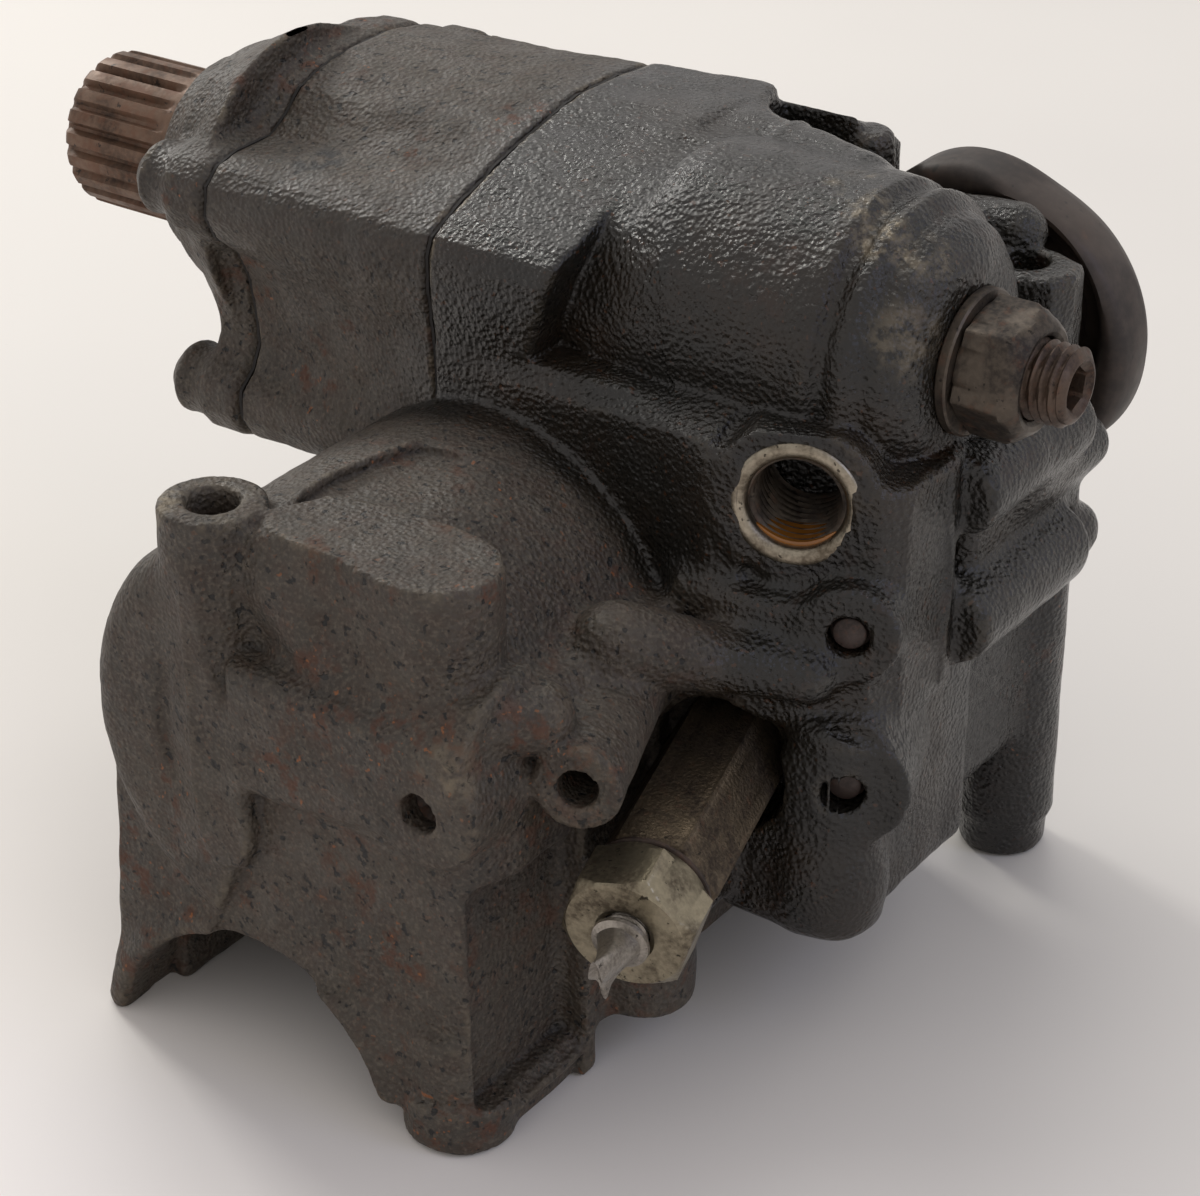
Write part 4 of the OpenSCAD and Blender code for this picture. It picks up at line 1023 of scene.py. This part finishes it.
def relief_parts(mat):
    at, flats = (VALVE, VALVE_WAY), 22
    full = flats / sqrt(3)
    rows = [(-9.8, 5.2), (-9.8, 8.6), (-9.4, 8.9), (-4.2, 8.9), (-3.9, 9.4)]
    rows += [(s, hexagon(flats, r)) for s, r in ((-3.8, 11), (-2.4, full), (41, full),
                                                 (41.5, full - 0.6), (42, 11.4))]
    ob = lathe("valve_body", *at, rows + [(42, 6), (41, 5.2)], 192)
    dress(ob, mat["hex"], 22, ["relief_body"])
    ob = lathe("valve_washer", *at, [(42.06, 4.9), (42.06, 11.2), (42.4, 11.9), (43.1, 12),
                                     (43.5, 11.4), (43.5, 4.9)], 96)
    dress(ob, mat["washer"], 40, ["relief_washer"])
    ob = hex_nut("valve_nut", *at, 43.6, 56.5, 24, 4.7, radians(12), 1.9)
    dress(ob, mat["nut"], 26, ["relief_nut"])
    # Threaded stem with a collar, sheared off in a twisted fin

    def sheared(t):
        def radius(a):
            wide, thick = 4.3 + 2.4 * t * t, 4.3 - 3.1 * t ** 0.8
            b = a - 1.05 - 0.5 * t
            r = 1 / sqrt((cos(b) / wide) ** 2 + (sin(b) / thick) ** 2)
            shift = 2.2 * t * cos(b) + 0.25 * t * sin(4 * a)
            return r + 0.1 * sin(5 * a + 3 * t), shift
        return radius
    rows = [(32.1, 3.6)] + screw_rows(32.4, 57.6, 4.45, 0.5, 1.25, 0.25)
    rows += [(57.7, 5.4), (58.1, 5.7), (58.9, 5.6), (59.2, 4.9)]
    rows += [(59.4 + 9.6 * t, sheared(t)) for t in np.linspace(0, 1, 14)]
    ob = lathe("valve_stem", *at, rows + [(69.2, 0.3)], 96, False)
    dress(ob, mat["stub"], 40, ["relief_stem"])


def port_parts(mat):
    """The thread of the port, and the turned face round it."""
    thread = [(-21.6, 10.4), (-21.6, 8.4)] + screw_rows(-21.2, -1.8, 9.35, 0.9, 2.1, 0.3)
    ob = lathe("port_thread", PORT, PORT_WAY, thread + [(-1.6, 9.3), (-1.6, 10.5)], 128)
    dress(ob, mat["dark_nut"], 45, ["main_housing"])
    rows = [(-1.9, 9.35), (-0.7, 9.5), (-0.1, 9.8), (0.35, 10.2), (0.6, 10.7), (0.72, 11.4),
            (0.66, 12.2), (0.35, 12.7), (-0.5, 12.95), (-4.5, 13)]
    ob = lathe("port_face", PORT, PORT_WAY, rows, 128)
    dress(ob, mat["ring"], 45, ["main_housing"])


def port_oil(mat):
    """A film of oil along the bottom of the thread, thinner towards its sides."""
    d, side, up = frame_axes(PORT_WAY)
    verts, faces = [], []
    wide, long = 24, 14
    for j in range(long + 1):
        s = -1.4 - 8.0 * j / long
        half = 0.95 - 0.35 * (j / long) + 0.06 * sin(2.3 * j)
        for i in range(wide + 1):
            a = half * (2 * i / wide - 1)
            thick = 0.85 * max(1 - (a / half) ** 2, 0) ** 0.5
            for r in (9.45, 9.4 - thick):
                verts.append(place(Vector(PORT) + d * s + side * (r * sin(a))
                                   - up * (r * cos(a))))
    row = 2 * (wide + 1)
    for j in range(long):
        for i in range(wide):
            for k in (0, 1):
                a = j * row + 2 * i + k
                faces.append((a, a + 2, a + 2 + row, a + row))
    for j in (0, long):
        for i in range(wide):
            a = j * row + 2 * i
            faces.append((a, a + 1, a + 3, a + 2))
    dress(build("port_oil", verts, faces), mat["oil"], 50)


def plug_parts(mat):
    """The two core plugs, and the bolt that broke off in the ledge."""
    rows = [(-7, 0.5), (-7, 3.6), (-6.6, 4.05), (-3.4, 4.05), (-3.1, 3.5), (-1.5, 3.25),
            (-1.2, 2.9), (-1.1, 0.3)]
    for k, spot in enumerate(PLUGS):
        ob = lathe("core_plug_%d" % k, spot, PORT_WAY, rows, 64, False)
        dress(ob, mat["plug"], 40, ["core_plugs"])

    def jagged(r):
        return lambda a: (r + 0.3 * sin(5 * a) + 0.2 * sin(11 * a + 1),
                          0.9 * sin(a + 0.7) + 0.4 * sin(4 * a))
    rows = [(-11.5, 0.4), (-11.5, 3.9), (-3.2, 3.9), (-2.4, jagged(3.4)), (-3.4, jagged(2.2)),
            (-2.6, jagged(1.2)), (-3, 0.2)]
    ob = lathe("broken_stud", (STUD[0], -112.6, STUD[1]), (0, -1, 0), rows, 64, False)
    dress(ob, mat["washer"], 45, ["broken_bolt"])


def flange_parts(mat):
    def lobe(r):
        """Radius of the flange, with a flat at the upper right and more metal below."""
        def radius(a):
            t = pi - a
            bend = 2.4 * cos(2 * (t + 0.9)) - 2.6 * exp(-((t - 1.3) / 0.5) ** 2)
            return r + bend * max(r - 24, 0) / 8, 0
        return radius
    rows = [(58.6, 27), (58.2, 28)]
    rows += [(s, lobe(r)) for s, r in ((58.3, 29.6), (59.2, 31.4), (61, 32.4), (70, 32.4),
                                       (72, 31.6), (74, 29.6))]
    rows += [(80.4, 22.6), (81.6, 21.6), (82.1, 20.6), (82.1, 14.2), (81.6, 13.2),
             (68.4, 13.05), (68.2, 14.5), (68.1, 19), (67, 22.2), (64.5, 24.4), (61, 25.4)]
    ob = lathe("end_flange", FLANGE, Y, rows, 144)
    dress(ob, mat["flange"], 35, ["side_flange"], "flange")
    rows = [(64, 14.3), (62.2, 14.8), (61.6, 15.6), (61.7, 17.2), (62.6, 18.2), (66.6, 18.8),
            (68, 18.8), (68, 14.3)]
    dress(lathe("flange_ring", FLANGE, Y, rows, 96), mat["flange"], 35,
          body="flange")


def oil_drops(mat):
    """Two drops and a hanging bead of oil on the wet corner."""
    spots = [((222.6, -31.6, -62.6), 1.1, (0.5, -0.85, 0.1)),
             ((222.4, -32, -67.2), 0.8, (0.5, -0.85, 0.1)),
             ((221, -40.2, -104.5), 1.6, (0.3, -1, 0))]
    for i, (at, r, way) in enumerate(spots):
        rows = [(s * r, k * r) for s, k in ((-0.4, 1.02), (0.1, 1), (0.42, 0.82), (0.62, 0.5),
                                            (0.7, 0.12))]
        ob = lathe("oil_drop_%d" % i, at, way, rows, 32, False)
        dress(ob, mat["black_oil"], 80)


# ---- room

def make_floor():
    half, z = 6, -0.0002
    mesh = bpy.data.meshes.new("floor")
    mesh.from_pydata([(-half, -half, z), (half, -half, z), (half, half, z), (-half, half, z)], [],
                     [(0, 1, 2, 3)])
    ob = new_object("floor", mesh)
    m = Nodes("table_top")
    base = m.mix(m.ramp(m.noise(2.5, 3), 0.3, 0.7), (0.715, 0.69, 0.655), (0.75, 0.725, 0.685))
    # Painted light: paler towards the viewer, where the floor lies in shade, with faint scratches
    across = m.node("SeparateXYZ", "Y", {"Vector": m.where})
    base = m.mix(m.ramp(across, 0.1, -0.3), base, (0.90, 0.855, 0.835))
    scratch = m.ramp(m.noise(130, 6, 0.75, 2), 0.67, 0.75, 0, 0.25)
    base = m.mix(scratch, base, (0.55, 0.52, 0.50))
    m.finish(base, 0.45)
    mesh.materials.append(m.material)


def make_lights():
    world = bpy.data.worlds.new("studio")
    bpy.context.scene.world = world
    world.use_nodes = True
    background = world.node_tree.nodes["Background"]
    background.inputs["Color"].default_value = (1, 0.965, 0.955, 1)
    background.inputs["Strength"].default_value = 0.68

    def area(name, at, target, size, power, colour):
        light = bpy.data.lights.new(name, "AREA")
        light.shape, light.size, light.size_y = "RECTANGLE", size[0], size[1]
        light.energy, light.color = power, colour
        ob = new_object(name, light)
        ob.location = at
        ob.rotation_euler = (Vector(target) - Vector(at)).to_track_quat("-Z", "Y").to_euler()

    area("ceiling", (-0.5, 0.6, 1.5), (0, 0, 0.05), (0.8, 0.8), 6.5, (1, 0.985, 0.94))
    area("window", (-1.4, 0.5, 0.9), (0, 0, 0.08), (0.32, 0.32), 9, (1, 0.98, 0.93))
    area("side", (1.3, 0.2, 0.9), (0, 0, 0.08), (0.5, 0.9), 2.5, (0.5, 0.6, 1))


def carried_over(mat):
    """CAD nodes that keep their shape and get a better finish."""
    finishes = {
        "steel": ["front_bearing", "rear_bearing", "drive_gear", "driven_gear", "cylinder_block",
                  "pistons", "retainer_plate", "ball_guide", "block_spring", "swash_plate",
                  "swash_pin", "control_piston", "control_spring", "thrust_plate",
                  "through_studs", "relief_poppet", "relief_spring", "side_bearing"],
        "bronze": ["front_bush", "rear_bush", "valve_plate", "slippers"],
        "rubber": ["shaft_seal", "side_seal"],
        "plug": ["passage_plugs"],
    }
    for finish, nodes in finishes.items():
        for node in nodes:
            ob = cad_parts[node]
            ob.data.materials.clear()
            ob.data.materials.append(mat[finish])


make_camera()
materials = make_materials()
for make in (carried_over, main_casting, front_castings, splined_shaft, seams, adjuster_parts,
             relief_parts, port_parts, port_oil, plug_parts, flange_parts, oil_drops):
    make(materials)
make_floor()
make_lights()

bpy.context.scene.view_settings.view_transform = "Standard"
